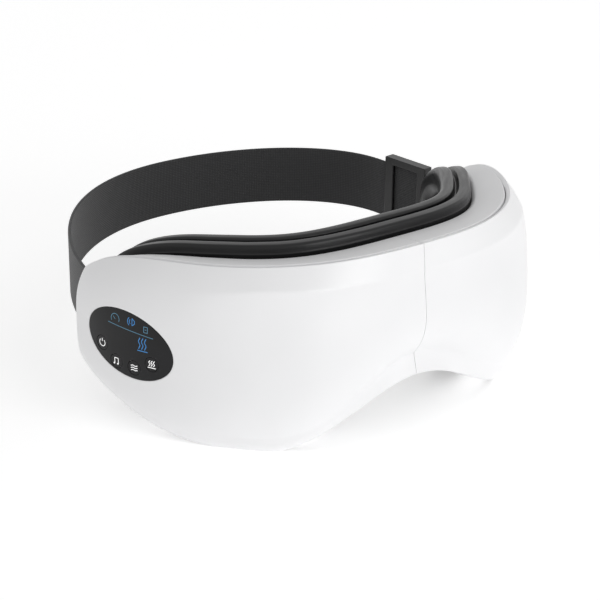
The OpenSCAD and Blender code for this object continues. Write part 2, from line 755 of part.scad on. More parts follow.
// Right pod: battery, air pump with its crank, release valve with its plunger
module battery() {
    color("#c3c7cc")
        at_station(pod_station)
            block([-20, carrier_front - fit - battery_t, carrier_low + 13],
                [-20 + battery_w, carrier_front - fit, carrier_high - 2]);
}
valve_high = carrier_high - 1.5;
valve_low = valve_high - 8.5;
pump_low = carrier_low + 2;
pump_high = valve_low - 7.5;
pump_split = pump_high - 12;
module pump_body() {
    color("#5a5d62")
        at_station(pod_station)
            translate([pump_x, pump_y, 0])
                difference() {
                    union() {
                        translate([0, 0, pump_low])
                            cylinder(d = pump_d, h = pump_high - pump_low);
                        translate([0, 0, pump_high - 0.5])
                            cylinder(d = 2.4, h = 4);
                    }
                    // Crank room, with an air way up through the outlet
                    translate([0, 0, pump_split])
                        cylinder(d = pump_d - 2.4, h = pump_high - pump_split - 1.6);
                    translate([0, 0, pump_split])
                        cylinder(d = 1.2, h = 40);
                    // Shaft hole down into the motor
                    translate([0, 0, pump_split - 8])
                        cylinder(d = 1.56, h = 9);
                }
}
module pump_crank() {
    color("#c9a45a")
        at_station(pod_station)
            translate([pump_x, pump_y, 0]) {
                translate([0, 0, pump_split - 7.5])
                    cylinder(d = 1.5, h = 11);
                translate([0, 0, pump_split + 1])
                    cylinder(d = 7, h = 2);
                translate([2, 0, pump_split + 2.5])
                    cylinder(d = 2, h = 5);
            }
}
valve_x0 = 4.4;
outlet_d = 2.4;
outlet_h = 1.6;
outlet_x = 15;
valve_x1 = 19;
valve_front = carrier_front - fit - 8.4;
valve_y = valve_front + 4.2;
valve_z = valve_low + 4.25;
module pump_tube() {
    color("#d8d8d2")
        at_station(pod_station)
            translate([pump_x, pump_y, 0])
                difference() {
                    translate([0, 0, pump_high + 0.1])
                        cylinder(d = 4, h = valve_low - pump_high - 0.2);
                    translate([0, 0, pump_high])
                        cylinder(d = 2.5, h = 12);
                }
}
module valve_body() {
    color("#2c5c8a")
        at_station(pod_station)
            difference() {
                union() {
                    block([valve_x0, valve_front, valve_low], [valve_x1, carrier_front - fit, valve_high]);
                    translate([pump_x, pump_y, valve_low - 3.4])
                        cylinder(d = 2.4, h = 4);
                    // Two outlets: one toward the temple, one upward
                    x_rod(valve_y, valve_z, outlet_d, valve_x1 - 1, valve_x1 + outlet_h);
                    translate([outlet_x, valve_y, valve_high - 1])
                        cylinder(d = outlet_d, h = outlet_h + 1);
                }
                x_rod(valve_y, valve_z, 4, valve_x0 - 1, valve_x1 - 2);
            }
}
module valve_plunger() {
    color("#d0d4d8")
        at_station(pod_station) {
            x_rod(valve_y, valve_z, 3.9, valve_x0 + 1, valve_x0 + 10);
            x_rod(valve_y, valve_z, 1.6, valve_x0 - 1, valve_x0 + 2);
        }
}

// Charging socket on its own small board against the rear wall of the left frame
module charge_board() {
    color("#1f5a35")
        left_side()
            at_station(socket_station)
                block([-7, socket_back + 0.05, edge_z(socket_station) + frame_wall + frame_round + 1.5],
                    [7, socket_back + 0.05 + charge_board_t, edge_z(socket_station) + 16]);
}
module charge_socket() {
    color("#c9ccd0")
        left_side()
            at_station(socket_station)
                difference() {
                    block([-socket_w / 2, socket_back - socket_t, edge_z(socket_station) + 0.6],
                        [socket_w / 2, socket_back, edge_z(socket_station) + 0.6 + socket_h]);
                    block([-socket_w / 2 + 0.4, socket_back - socket_t + 0.4, 0],
                        [socket_w / 2 - 0.4, socket_back - 0.4, edge_z(socket_station) + 5.8]);
                    }
}

// Soft air line through a list of points: rings square to the path, carried along without twist
tube_sides = 10;
function unit(v) = v / norm(v);
function path_dir(points, i) =
    unit(unit(points[min(len(points) - 1, i + 1)] - points[max(0, min(i, len(points) - 2))])
        + unit(points[max(1, i)] - points[max(0, i - 1)]));
function path_side(points, i) =
    let (d = path_dir(points, i), u = i == 0 ? cross(d, [0.3, 0.2, 0.93]) : path_side(points, i - 1))
    unit(u - d * (u * d));
module air_line(points) {
    loop_tube([for (i = [0 : len(points) - 1])
        let (d = path_dir(points, i), u = path_side(points, i), v = cross(u, d))
        [for (k = [0 : tube_sides - 1])
            points[i] + (u * cos(k * 360 / tube_sides) + v * sin(k * 360 / tube_sides)) * tube_d / 2]]);
}
inlet_end = ledge(inlet_station) - frame_wall - 3.05;
module air_line_right() {
    color("#d8d8d2")
        air_line([
            local_point(pod_station, valve_x1 + outlet_h + 0.05, valve_y, valve_z),
            local_point(pod_station, valve_x1 + outlet_h + 3, valve_y, valve_z),
            local_point(inlet_station, 0, 2, valve_z),
            local_point(inlet_station, 0, 2, inlet_z),
            local_point(inlet_station, 0, inlet_end, inlet_z)]);
}
function mirrored(q) = [-q[0], q[1], q[2]];
module air_line_cross() {
    color("#d8d8d2")
        air_line([
            local_point(pod_station, outlet_x, valve_y, valve_high + outlet_h + 0.05),
            local_point(pod_station, outlet_x, valve_y, cross_z - 1.8),
            local_point(pod_station, 2, 3, cross_z - 1.5),
            [14, cross_y, cross_z],
            [-14, cross_y, cross_z],
            mirrored(local_point(pod_station, 0, 1, cross_z - 1.5)),
            mirrored(local_point(inlet_station, 0, 2, cross_z - 4)),
            mirrored(local_point(inlet_station, 0, 2, inlet_z)),
            mirrored(local_point(inlet_station, 0, inlet_end, inlet_z))]);
}

// Strap: a loop of elastic web from one temple round the back of the head to the other
strap_z = temple_z + 0.3;
anchor_station = 68.5;
anchor_pin = [-2, 3];
anchor_pin_d = 2;
strap_low = strap_z - strap_width / 2;
strap_high = strap_z + strap_width / 2;
pin_point = local_point(anchor_station, anchor_pin[0], anchor_pin[1], 0);
exit_point = local_point(anchor_station, 6.5, 4.3, 0);
// The straight stretch on the right that carries the slide adjuster
straight_end = [exit_point[0] - 4.4, exit_point[1] + 41, 0];
back_point = [3, strap_reach - strap_thick / 2, 0];
function curve(a, b, c, d, t) =
    a * pow(1 - t, 3) + b * 3 * t * pow(1 - t, 2) + c * 3 * t * t * (1 - t) + d * pow(t, 3);
strap_steps = 22;
strap_line = concat(
    [mirrored(pin_point), mirrored(exit_point)],
    [for (i = [1 : strap_steps])
        curve(mirrored(exit_point), [-82, 36, 0], [-52, back_point[1], 0], back_point, i / strap_steps)],
    [for (i = [1 : strap_steps])
        curve(back_point, [45, back_point[1], 0],
            straight_end + (straight_end - exit_point) * 0.7, straight_end, i / strap_steps)],
    [exit_point, pin_point]);
function strap_side(offset) =
    [for (i = [0 : len(strap_line) - 1])
        let (a = strap_line[max(0, i - 1)], b = strap_line[min(len(strap_line) - 1, i + 1)],
            d = b - a, len = norm(d))
        [strap_line[i][0] - offset * d[1] / len, strap_line[i][1] + offset * d[0] / len]];
module strap_loop_end(q) {
    translate([q[0], q[1], strap_low])
        cylinder(d = anchor_pin_d + 0.1 + 2 * strap_thick, h = strap_width);
}
module strap() {
    half = strap_thick / 2;
    forward = strap_side(half);
    backward = strap_side(-half);
    color("#2b2b2d")
        difference() {
            union() {
                translate([0, 0, strap_low])
                    linear_extrude(height = strap_width)
                        polygon(concat(forward, [for (i = [len(backward) - 1 : -1 : 0]) backward[i]]));
                strap_loop_end(pin_point);
                strap_loop_end(mirrored(pin_point));
            }
            for (q = [pin_point, mirrored(pin_point)])
                translate([q[0], q[1], strap_low - 1])
                    cylinder(d = anchor_pin_d + 0.1, h = strap_width + 2);
        }
}

// Slide adjuster: two rails above and below the strap, a bar outside it and two bars inside it
buckle_along = 23;
buckle_dir = (straight_end - exit_point) / norm(straight_end - exit_point);
buckle_point = exit_point + buckle_dir * buckle_along;
rail_h = 3.2;
bar_w = 5;
bar_t = 1.4;
bar_gap = 0.2;
module buckle() {
    half = strap_thick / 2 + bar_gap;
    full = half + bar_t;
    color("#161618")
        translate(buckle_point)
            rotate([0, 0, atan2(buckle_dir[1], buckle_dir[0])]) {
                for (z = [strap_low - 0.25 - rail_h, strap_high + 0.25])
                    block([-buckle_length / 2, -full, z], [buckle_length / 2, full, z + rail_h]);
                block([-bar_w / 2, -full, strap_low - 1], [bar_w / 2, -half, strap_high + 1]);
                for (x = [-buckle_length / 2, buckle_length / 2 - bar_w])
                    block([x, half, strap_low - 1], [x + bar_w, full, strap_high + 1]);
            }
}

// Strap anchor in each temple tip: two lugs and a cross wall that hold the strap's pin
lug_h = 2.4;
lug_end = 1.2;
module anchor_half() {
    low = strap_low - 0.3;
    high = strap_high + 0.3;
    depth = ledge(anchor_station) - frame_wall - 4 * fit;
    at_station(anchor_station)
        difference() {
            union() {
                block([-6, 0.4, low - lug_h], [lug_end, depth, low]);
                block([-6, 0.4, high], [lug_end, depth, high + lug_h]);
                block([-6, 0.4, low - 1], [-4.7, depth, high + 1]);
            }
            translate([anchor_pin[0], anchor_pin[1], low - lug_h + 0.6])
                cylinder(d = anchor_pin_d + 0.04, h = high - low + 2 * lug_h - 1.2);
        }
}
module pin_half() {
    at_station(anchor_station)
        translate([anchor_pin[0], anchor_pin[1], strap_low - 0.3 - lug_h + 0.65])
            cylinder(d = anchor_pin_d, h = strap_width + 0.6 + 2 * lug_h - 1.3);
}
module strap_anchor_left() { color("#3b3d40") left_side() anchor_half(); }
module strap_anchor_right() { color("#3b3d40") anchor_half(); }
module strap_pin_left() { color("#cfd3d8") left_side() pin_half(); }
module strap_pin_right() { color("#cfd3d8") pin_half(); }

shell_left();
shell_right();
frame_left();
frame_right();
cushion_left();
cushion_right();
lining_left();
lining_right();
heater_left();
heater_right();
bladder_left();
bladder_right();
panel_lens();
display_module();
display_board();
key_switches();
key_power();
key_music();
key_mode();
key_heat();
hinge_leaf_left();
hinge_leaf_right();
hinge_pin();
hinge_screws_left();
hinge_screws_right();
carrier_left();
carrier_right();
carrier_screws_left();
carrier_screws_right();
main_board();
speaker();
battery();
pump_body();
pump_crank();
pump_tube();
valve_body();
valve_plunger();
vib_motor_left();
vib_weight_left();
vib_motor_right();
vib_weight_right();
charge_board();
charge_socket();
air_line_right();
air_line_cross();
strap();
buckle();
strap_anchor_left();
strap_anchor_right();
strap_pin_left();
strap_pin_right();
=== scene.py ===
# %% [markdown]
# An eye massager mask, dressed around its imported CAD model.
# The mask is a folding visor: two white front shells, a grey rear frame, a black face cushion,
# a glossy control panel on one temple and an elastic strap behind the head.
# The CAD model holds the true sizes and the joints; this script makes the surfaces that the eye sees.
# It works in millimetres and turns to metres when a mesh is made.

# %% Load the frame
import bpy
import numpy as np
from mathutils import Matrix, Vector


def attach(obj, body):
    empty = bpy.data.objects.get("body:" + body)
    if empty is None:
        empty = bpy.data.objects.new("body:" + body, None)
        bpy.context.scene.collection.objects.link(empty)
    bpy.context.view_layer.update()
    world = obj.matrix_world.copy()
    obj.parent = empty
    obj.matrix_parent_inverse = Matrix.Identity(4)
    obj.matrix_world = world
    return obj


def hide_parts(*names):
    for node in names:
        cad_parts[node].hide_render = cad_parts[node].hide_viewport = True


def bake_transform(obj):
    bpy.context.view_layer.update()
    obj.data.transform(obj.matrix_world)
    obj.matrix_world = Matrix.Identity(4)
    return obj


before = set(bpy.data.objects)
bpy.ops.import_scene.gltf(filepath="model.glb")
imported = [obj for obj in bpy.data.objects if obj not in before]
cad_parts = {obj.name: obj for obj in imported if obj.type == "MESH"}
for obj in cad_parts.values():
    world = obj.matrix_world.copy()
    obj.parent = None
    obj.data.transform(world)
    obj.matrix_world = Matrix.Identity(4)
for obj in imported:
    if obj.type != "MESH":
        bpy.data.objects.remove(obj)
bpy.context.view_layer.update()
MM = 0.001

# %% [markdown]
# Nearly every outer piece of the mask follows one curve: the rim, seen from above.
# One could trace each piece by itself, but then the shells, the ledge and the cushion would not meet.
# So the rim is one formula, and a place on it is a station: an angle, negative on the panel side.

# %% The rim curve
RIM_HALF_WIDTH = 96
RIM_DEPTH = 137
RIM_FULLNESS = 2.4
FRONT_Y = -87
TEMPLE_DEPTH = 81


def ease(t):
    """Smooth step: three t squared less two t cubed, with t held between 0 and 1."""
    t = np.clip(t, 0, 1)
    return t * t * (3 - 2 * t)


def mix(a, b, t):
    """Goes from a to b as t goes from 0 to 1."""
    return a + (b - a) * t


def rim_x(p):
    """Superellipse: half width times the sine of the station to the power two over fullness."""
    s = np.sin(np.radians(p))
    return RIM_HALF_WIDTH * np.sign(s) * np.abs(s) ** (2 / RIM_FULLNESS)


def rim_y(p):
    """The same superellipse, measured back from the nose."""
    return FRONT_Y + RIM_DEPTH * (1 - np.cos(np.radians(p)) ** (2 / RIM_FULLNESS))


def rim_normal(p):
    """Outward direction: the gradient of the superellipse, made one unit long."""
    x = rim_x(p) / RIM_HALF_WIDTH
    u = np.sign(x) * np.abs(x) ** (RIM_FULLNESS - 1) / RIM_HALF_WIDTH
    v = np.cos(np.radians(p)) ** (2 * (RIM_FULLNESS - 1) / RIM_FULLNESS) / RIM_DEPTH
    length = np.hypot(u, v)
    return u / length, -v / length


def out_point(p, out, z):
    """The rim point at a station, moved outward by a distance and set at a height."""
    nx, ny = rim_normal(p)
    return np.stack(np.broadcast_arrays(rim_x(p) + nx * out, rim_y(p) + ny * out, z), axis=-1)


def station_at_depth(d):
    """The station whose rim point lies that far behind the nose."""
    return np.degrees(np.arccos((1 - d / RIM_DEPTH) ** (RIM_FULLNESS / 2)))


def station_at_x(x):
    """The station whose rim point lies that far from the middle."""
    return np.degrees(np.arcsin((x / RIM_HALF_WIDTH) ** (RIM_FULLNESS / 2)))


LAST_STATION = station_at_depth(TEMPLE_DEPTH)
print("Last station, degrees:", round(float(LAST_STATION), 2))

# %% [markdown]
# Seen from the front, the rim falls gently to both sides, the lower edge arches over the nose,
# and both close in round the strap at the temple tips. They could be drawn by hand as two curves.
# As formulas of the station they can be asked for anywhere, so every piece meets the same edges.

# %% Heights along the rim
RIM_HEIGHT = 74.5
RIM_DROP = 5
TEMPLE_Z = RIM_HEIGHT / 2 + 3.75
TEMPLE_LIFT = 8
LIFT_START, LIFT_RUN = 28, 50
ARCH_HEIGHT = 22
ARCH_HALF_WIDTH = 62
ARCH_DIP = 1.2
STRAP_WIDTH = 25.5
STRAP_ROOM = 6
TIP_LENGTH = 40
TIP_FULLNESS = 2.4
TIP_LIMIT = 0.99


def open_rim_z(p):
    """Height of the rim before the tip closes it: it falls with the square of the width."""
    return RIM_HEIGHT - RIM_DROP * (rim_x(p) / RIM_HALF_WIDTH) ** 2


tip_end_share = (STRAP_WIDTH / 2 + STRAP_ROOM) / (open_rim_z(LAST_STATION) - TEMPLE_Z)
tip_reach = TIP_LENGTH / (1 - tip_end_share**TIP_FULLNESS) ** (1 / TIP_FULLNESS)


def tip_share(p):
    """How much of the full height is left near the rounded temple tip: a superellipse again."""
    k = np.clip((rim_y(p) - FRONT_Y - TEMPLE_DEPTH + TIP_LENGTH) / tip_reach, 0, TIP_LIMIT)
    return (1 - k**TIP_FULLNESS) ** (1 / TIP_FULLNESS)


def rim_z(p):
    """Height of the rim: the open height, drawn to the temple's middle by the tip's share."""
    return mix(TEMPLE_Z, open_rim_z(p), tip_share(p))


def edge_z(p):
    """Height of the lower edge: a squared cosine for the nose arch, then a lift to the temple."""
    turn = np.radians(np.minimum(90, 90 * np.abs(rim_x(p)) / ARCH_HALF_WIDTH))
    arch = (ARCH_HEIGHT + ARCH_DIP) * np.cos(turn) ** 2 - ARCH_DIP
    lift = TEMPLE_LIFT * ease((rim_y(p) - FRONT_Y - LIFT_START) / LIFT_RUN)
    return mix(TEMPLE_Z, np.maximum(0, arch) + lift, tip_share(p))


print("Height of a temple tip, mm:", round(float(rim_z(LAST_STATION) - edge_z(LAST_STATION)), 1))

# %% [markdown]
# A moulded shell is a thin sheet with two skins and a small round at its border.
# A Solidify and a Bevel modifier could do that, but a bevel is held back by the shortest edge it meets.
# So one function joins two matching skins and rounds the border itself, ring by ring.

# %% Sheets and meshes
EDGE_TURNS = np.radians([30, 60, 90])
TINY = 1e-12


def unit(v):
    """Each vector divided by its length."""
    return v / np.maximum(np.linalg.norm(v, axis=-1, keepdims=True), TINY)


def grid_quads(rows, cols, wrap_rows=False, wrap_cols=False):
    """Corner numbers of every cell of a grid of points, row by row."""
    i, j = np.meshgrid(np.arange(rows - 1 + wrap_rows), np.arange(cols - 1 + wrap_cols), indexing="ij")
    k, m = (i + 1) % rows, (j + 1) % cols
    return np.stack([i * cols + j, k * cols + j, k * cols + m, i * cols + m], axis=-1).reshape(-1, 4)


def close_sheet(front, back, quads, edge):
    """Two skins joined round their border. At the border both skins draw back by the edge radius,
    and the rings between them follow a quarter circle in front, then one behind."""
    n = len(front)
    a, b = quads.ravel(), np.roll(quads, -1, axis=1).ravel()
    border = ~np.isin(a * n + b, b * n + a)
    a, b = a[border], b[border]
    normal = unit(front - back)
    side = unit(np.cross(front[b] - front[a], normal[a]))
    outward = np.zeros_like(front)
    np.add.at(outward, a, side)
    np.add.at(outward, b, side)
    rim = np.unique(np.concatenate([a, b]))
    place = np.zeros(n, int)
    place[rim] = np.arange(len(rim))
    out, up = unit(outward[rim]) * edge, normal[rim] * edge
    front_rings = [front[rim] - out * (1 - np.sin(t)) - up * (1 - np.cos(t)) for t in EDGE_TURNS]
    back_rings = [back[rim] - out * (1 - np.sin(t)) + up * (1 - np.cos(t)) for t in EDGE_TURNS[::-1]]
    rings = front_rings + back_rings
    front, back = front.copy(), back.copy()
    front[rim] -= out
    back[rim] -= out
    levels = [np.arange(n)]
    levels += [2 * n + k * len(rim) + place for k in range(len(rings))]
    levels += [n + np.arange(n)]
    faces = [quads, quads[:, ::-1] + n]
    faces += [np.stack([u[b], u[a], v[a], v[b]], axis=-1) for u, v in zip(levels[:-1], levels[1:])]
    source = np.concatenate([np.arange(n), np.arange(n), *[rim] * len(rings)])
    return np.concatenate([front, back, *rings]), np.concatenate(faces), source


def new_piece(name, points, faces, source, material, uv=None):
    """A smooth mesh from points in millimetres and four-cornered faces.
    A map in millimetres, if given, is read at the grid point that each point came from."""
    mesh = bpy.data.meshes.new(name)
    mesh.from_pydata(points * MM, [], faces)
    mesh.polygons.foreach_set("use_smooth", np.ones(len(mesh.polygons), bool))
    if uv is not None:
        corner = np.zeros(len(mesh.loops), np.int32)
        mesh.loops.foreach_get("vertex_index", corner)
        layer = mesh.uv_layers.new(name="map")
        layer.data.foreach_set("uv", (uv[source[corner]] * MM).astype(np.float32).ravel())
    mesh.materials.append(material)
    mesh.update()
    piece = bpy.data.objects.new(name, mesh)
    bpy.context.scene.collection.objects.link(piece)
    print(name, len(points), "points", len(faces), "faces")
    return piece


print("Rings in a rounded border:", 2 * len(EDGE_TURNS))

# %% [markdown]
# Materials start from what the real ones are: moulded ABS, soft polyurethane skin, woven elastic, acrylic.
# Each is a Principled shader whose colour, roughness and bump vary a little, as moulded and woven things do.
# Colours are written as the eye names them, in sRGB, and one function makes them linear.

# %% Node and colour helpers
# A Mix node has its sockets for numbers and vectors first; these are the places of those for colours.
MIX_SHARE, MIX_FROM, MIX_TO, MIX_RESULT = 0, 6, 7, 2
# A noise seldom leaves this span, so the span is stretched over the whole change of tone or gloss.
NOISE_SPAN = {"From Min": 0.3, "From Max": 0.7}


def linear(hex_colour):
    """An sRGB hex colour as the linear colour that Blender's sockets hold."""
    c = np.array([int(hex_colour[i:i + 2], 16) for i in (1, 3, 5)]) / 255
    c = np.where(c <= 0.04045, c / 12.92, ((c + 0.055) / 1.055) ** 2.4)
    return (*[float(x) for x in c], 1.0)


def fill(tree, node, inputs):
    """Gives a node's sockets their values, or a link where the value is another node's socket."""
    for name, value in inputs.items():
        if isinstance(value, bpy.types.NodeSocket):
            tree.links.new(value, node.inputs[name])
        else:
            node.inputs[name].default_value = value


def add(tree, kind, inputs=None, **settings):
    """Adds a node: settings are its properties, inputs are socket values or links from other sockets."""
    node = tree.nodes.new(kind)
    for name, value in settings.items():
        setattr(node, name, value)
    fill(tree, node, inputs or {})
    return node


def new_material(name, **shader):
    """A material with one Principled shader; the words set its sockets."""
    material = bpy.data.materials.new(name)
    material.use_nodes = True
    tree = material.node_tree
    principled = tree.nodes["Principled BSDF"]
    fill(tree, principled, {word.replace("_", " "): value for word, value in shader.items()})
    return material, tree, principled


def per_metre(size_mm):
    """Texture scale for a grain of that size in millimetres."""
    return 1 / (size_mm * MM)


print("White, linear:", linear("#ffffff"))

# %% [markdown]
# Most hard pieces are moulded plastic or drawn metal. Each could have its own node tree,
# but they differ only in colour, gloss and grain. So one function makes them all from the grain's size
# and depth in millimetres, and the base colour drifts a little over a few centimetres.

# %% Moulded finishes
TONE_DRIFT_MM = 40
GLOSS_SPREAD = 0.05


def moulded(name, light, dark, rough, grain_mm, depth_mm, **shader):
    """A moulded or drawn surface: a broad tone drift, a fine grain in the gloss, a shallow bump."""
    material, tree, principled = new_material(name, **shader)
    place = add(tree, "ShaderNodeTexCoord").outputs["Object"]
    drift = add(tree, "ShaderNodeTexNoise", {"Vector": place, "Scale": per_metre(TONE_DRIFT_MM),
                                             "Detail": 2.0})
    grain = add(tree, "ShaderNodeTexNoise", {"Vector": place, "Scale": per_metre(grain_mm), "Detail": 3.0})
    share = add(tree, "ShaderNodeMapRange", {"Value": drift.outputs["Fac"], **NOISE_SPAN})
    tone = add(tree, "ShaderNodeMix", {MIX_SHARE: share.outputs["Result"], MIX_FROM: linear(dark),
                                       MIX_TO: linear(light)}, data_type="RGBA")
    gloss = add(tree, "ShaderNodeMapRange", {"Value": grain.outputs["Fac"], **NOISE_SPAN,
                                             "To Min": rough - GLOSS_SPREAD, "To Max": rough + GLOSS_SPREAD})
    bump = add(tree, "ShaderNodeBump", {"Height": grain.outputs["Fac"], "Strength": 1.0,
                                        "Distance": depth_mm * MM})
    fill(tree, principled, {"Base Color": tone.outputs[MIX_RESULT], "Roughness": gloss.outputs["Result"],
                            "Normal": bump.outputs["Normal"]})
    return material


# Satin ABS from a polished mould: a clean white with wide, soft highlights along its curves.
white_abs = moulded("white_abs_satin", "#f6f6f7", "#f3f3f4", 0.34, 1.2, 0.002, IOR=1.53)
# Matt ABS from an etched mould: nearly as pale, but dull, so the ledge reads as a grey step.
grey_abs = moulded("grey_abs_matt", "#f3f3f4", "#efeff0", 0.48, 0.6, 0.004, IOR=1.53)
print("Made:", white_abs.name, grey_abs.name)

# %% [markdown]
# The cushion is foam in a soft black polyurethane skin: satin, with a fine leather grain and faint creases
# that run round it. The lining is a black knit, and the strap is woven elastic with a close relief like it.
# A picture could be laid on them, but a pattern of waves and cells follows the piece's own map exactly.
# Real threads lie less than half a millimetre apart, too fine to show, so the weaves are drawn coarser.

# %% Cushion skin and knits
SKIN_GRAIN_MM, SKIN_GRAIN_DEPTH = 0.9, 0.02
CREASE_MM, CREASE_DEPTH = 1.6, 0.12
CREASE_STRETCH = (0.12, 1.0, 1.0)
KNIT_DEPTH = 0.15
# At a scale of one, Blender's bands repeat after a tenth of pi.
WAVE_TURN = np.pi / 10


def leather_skin(name, light, dark):
    """Grain from small cells, and long faint creases from a noise stretched along the ring, with painted
    shade in their hollows.
    """
    material, tree, principled = new_material(name, IOR=1.45, Specular_IOR_Level=0.35)
    place = add(tree, "ShaderNodeTexCoord").outputs["UV"]
    cells = add(tree, "ShaderNodeTexVoronoi", {"Vector": place, "Scale": per_metre(SKIN_GRAIN_MM)},
                feature="DISTANCE_TO_EDGE")
    stretch = add(tree, "ShaderNodeMapping", {"Vector": place, "Scale": CREASE_STRETCH})
    crease = add(tree, "ShaderNodeTexNoise", {"Vector": stretch.outputs["Vector"],
                                              "Scale": per_metre(CREASE_MM), "Detail": 4.0})
    share = add(tree, "ShaderNodeMapRange", {"Value": crease.outputs["Fac"],
                                             "From Min": 0.35, "From Max": 0.7})
    # Painted shade: the creases' noise also sets the tone, darker in their hollows and lighter on their
    # ridges.
    tone = add(tree, "ShaderNodeMix", {MIX_SHARE: share.outputs["Result"], MIX_FROM: linear(dark),
                                       MIX_TO: linear(light)}, data_type="RGBA")
    gloss = add(tree, "ShaderNodeMapRange", {"Value": crease.outputs["Fac"], **NOISE_SPAN,
                                             "To Min": 0.28, "To Max": 0.4})
    fine = add(tree, "ShaderNodeBump", {"Height": cells.outputs["Distance"], "Strength": 0.5,
                                        "Distance": SKIN_GRAIN_DEPTH * MM})
    long = add(tree, "ShaderNodeBump", {"Height": crease.outputs["Fac"], "Strength": 0.6,
                                        "Distance": CREASE_DEPTH * MM, "Normal": fine.outputs["Normal"]})
    fill(tree, principled, {"Base Color": tone.outputs[MIX_RESULT], "Roughness": gloss.outputs["Result"],
                            "Normal": long.outputs["Normal"]})
    return material


def knit(name, light, dark, loop_mm):
    """Two sets of waves at right angles, multiplied, make the loops; a little distortion breaks them up."""
    material, tree, principled = new_material(name, Roughness=0.85, IOR=1.45, Sheen_Weight=0.25,
                                              Sheen_Roughness=0.5)
    place = add(tree, "ShaderNodeTexCoord").outputs["UV"]
    waves = [add(tree, "ShaderNodeTexWave", {"Vector": place, "Scale": WAVE_TURN * per_metre(loop_mm),
                                             "Distortion": 0.6, "Detail": 1.0},
                 bands_direction=axis) for axis in ("X", "Y")]
    height = add(tree, "ShaderNodeMath", {0: waves[0].outputs["Fac"], 1: waves[1].outputs["Fac"]},
                 operation="MULTIPLY").outputs["Value"]
    # Painted shade: the tone follows the loops' height, darker in the hollows and lighter on the raised
    # loops.
    tone = add(tree, "ShaderNodeMix", {MIX_SHARE: height, MIX_FROM: linear(dark), MIX_TO: linear(light)},
               data_type="RGBA")
    bump = add(tree, "ShaderNodeBump", {"Height": height, "Strength": 0.7, "Distance": KNIT_DEPTH * MM})
    fill(tree, principled, {"Base Color": tone.outputs[MIX_RESULT], "Normal": bump.outputs["Normal"]})
    return material


# Polyurethane skin: a deep black whose lips catch long, soft lines of light.
cushion_skin = leather_skin("black_polyurethane_skin", "#161617", "#0e0e0f")
# Polyester knit: black without gloss, with painted light on the loops that stand up and painted shade between
# them.
lining_knit = knit("black_lining_knit", "#2c2c2e", "#141415", 0.9)
# Woven elastic: a greyer black than the skin, matt, with a close regular texture and painted shade in its
# hollows.
strap_web = knit("woven_elastic_web", "#3d3d3e", "#29292a", 0.8)
print("Made:", cushion_skin.name, lining_knit.name, strap_web.name)

# %% [markdown]
# The front shells are the first thing seen. Their section changes along the rim: a band below the rim,
# a crease, a crowned face and a rolled skirt in front, and one round swell at the temples.
# A subdivision cage would need many loops to keep the crease, so the section is a formula,
# sampled closely and then softened by a weighted mean, which rounds the crease by about half a millimetre.

# %% Section of the front shell
SHELL_TOP_OUT = 1.9
SHELL_EDGE_OUT = 0.8
# The crease stands out less at the nose, and the band below the rim narrows a little to the sides.
CREASE_PROUD = 7
CREASE_NOSE = 3
CREASE_RUN = 62
BAND_HEIGHT = 9.7
BAND_NARROWING = 2
FACE_CROWN = 4.5
CROWN_SKEW = 1.5
# The skirt is drawn in over the nose arch, where it is a straight slope.
SKIRT_OUT, SKIRT_NOSE_OUT = CREASE_PROUD - 1, -1.5
SKIRT_HEIGHT, SKIRT_NOSE_HEIGHT = 7, 8
NOSE_START, NOSE_RUN = 4, 44
# From here outward the section turns into the round swell of the temple.
FADE_START, FADE_RUN = 54, 24
TEMPLE_SWELL = 11
SWELL_POWER = 3.6
SKIRT_SHARE, CREASE_SHARE = 0.1, 0.87
SKIRT_STEPS, FACE_STEPS, BAND_STEPS = 14, 78, 18
SOFT_REACH = 6
SOFT_WIDTH = 0.9
soft_taps = np.exp(-0.5 * (np.arange(-SOFT_REACH, SOFT_REACH + 1) / SOFT_WIDTH) ** 2)
soft_taps = soft_taps / soft_taps.sum()


def soften(rows):
    """Each point becomes the weighted mean of its neighbours along the row, with a bell curve's weights.
    Past its ends the row is continued by turning it about the end point, so the ends stay put."""
    before = 2 * rows[:, :1] - rows[:, SOFT_REACH:0:-1]
    after = 2 * rows[:, -1:] - rows[:, -2:-SOFT_REACH - 2:-1]
    padded = np.concatenate([before, rows, after], axis=1)
    return sum(w * padded[:, k:k + rows.shape[1]] for k, w in enumerate(soft_taps))


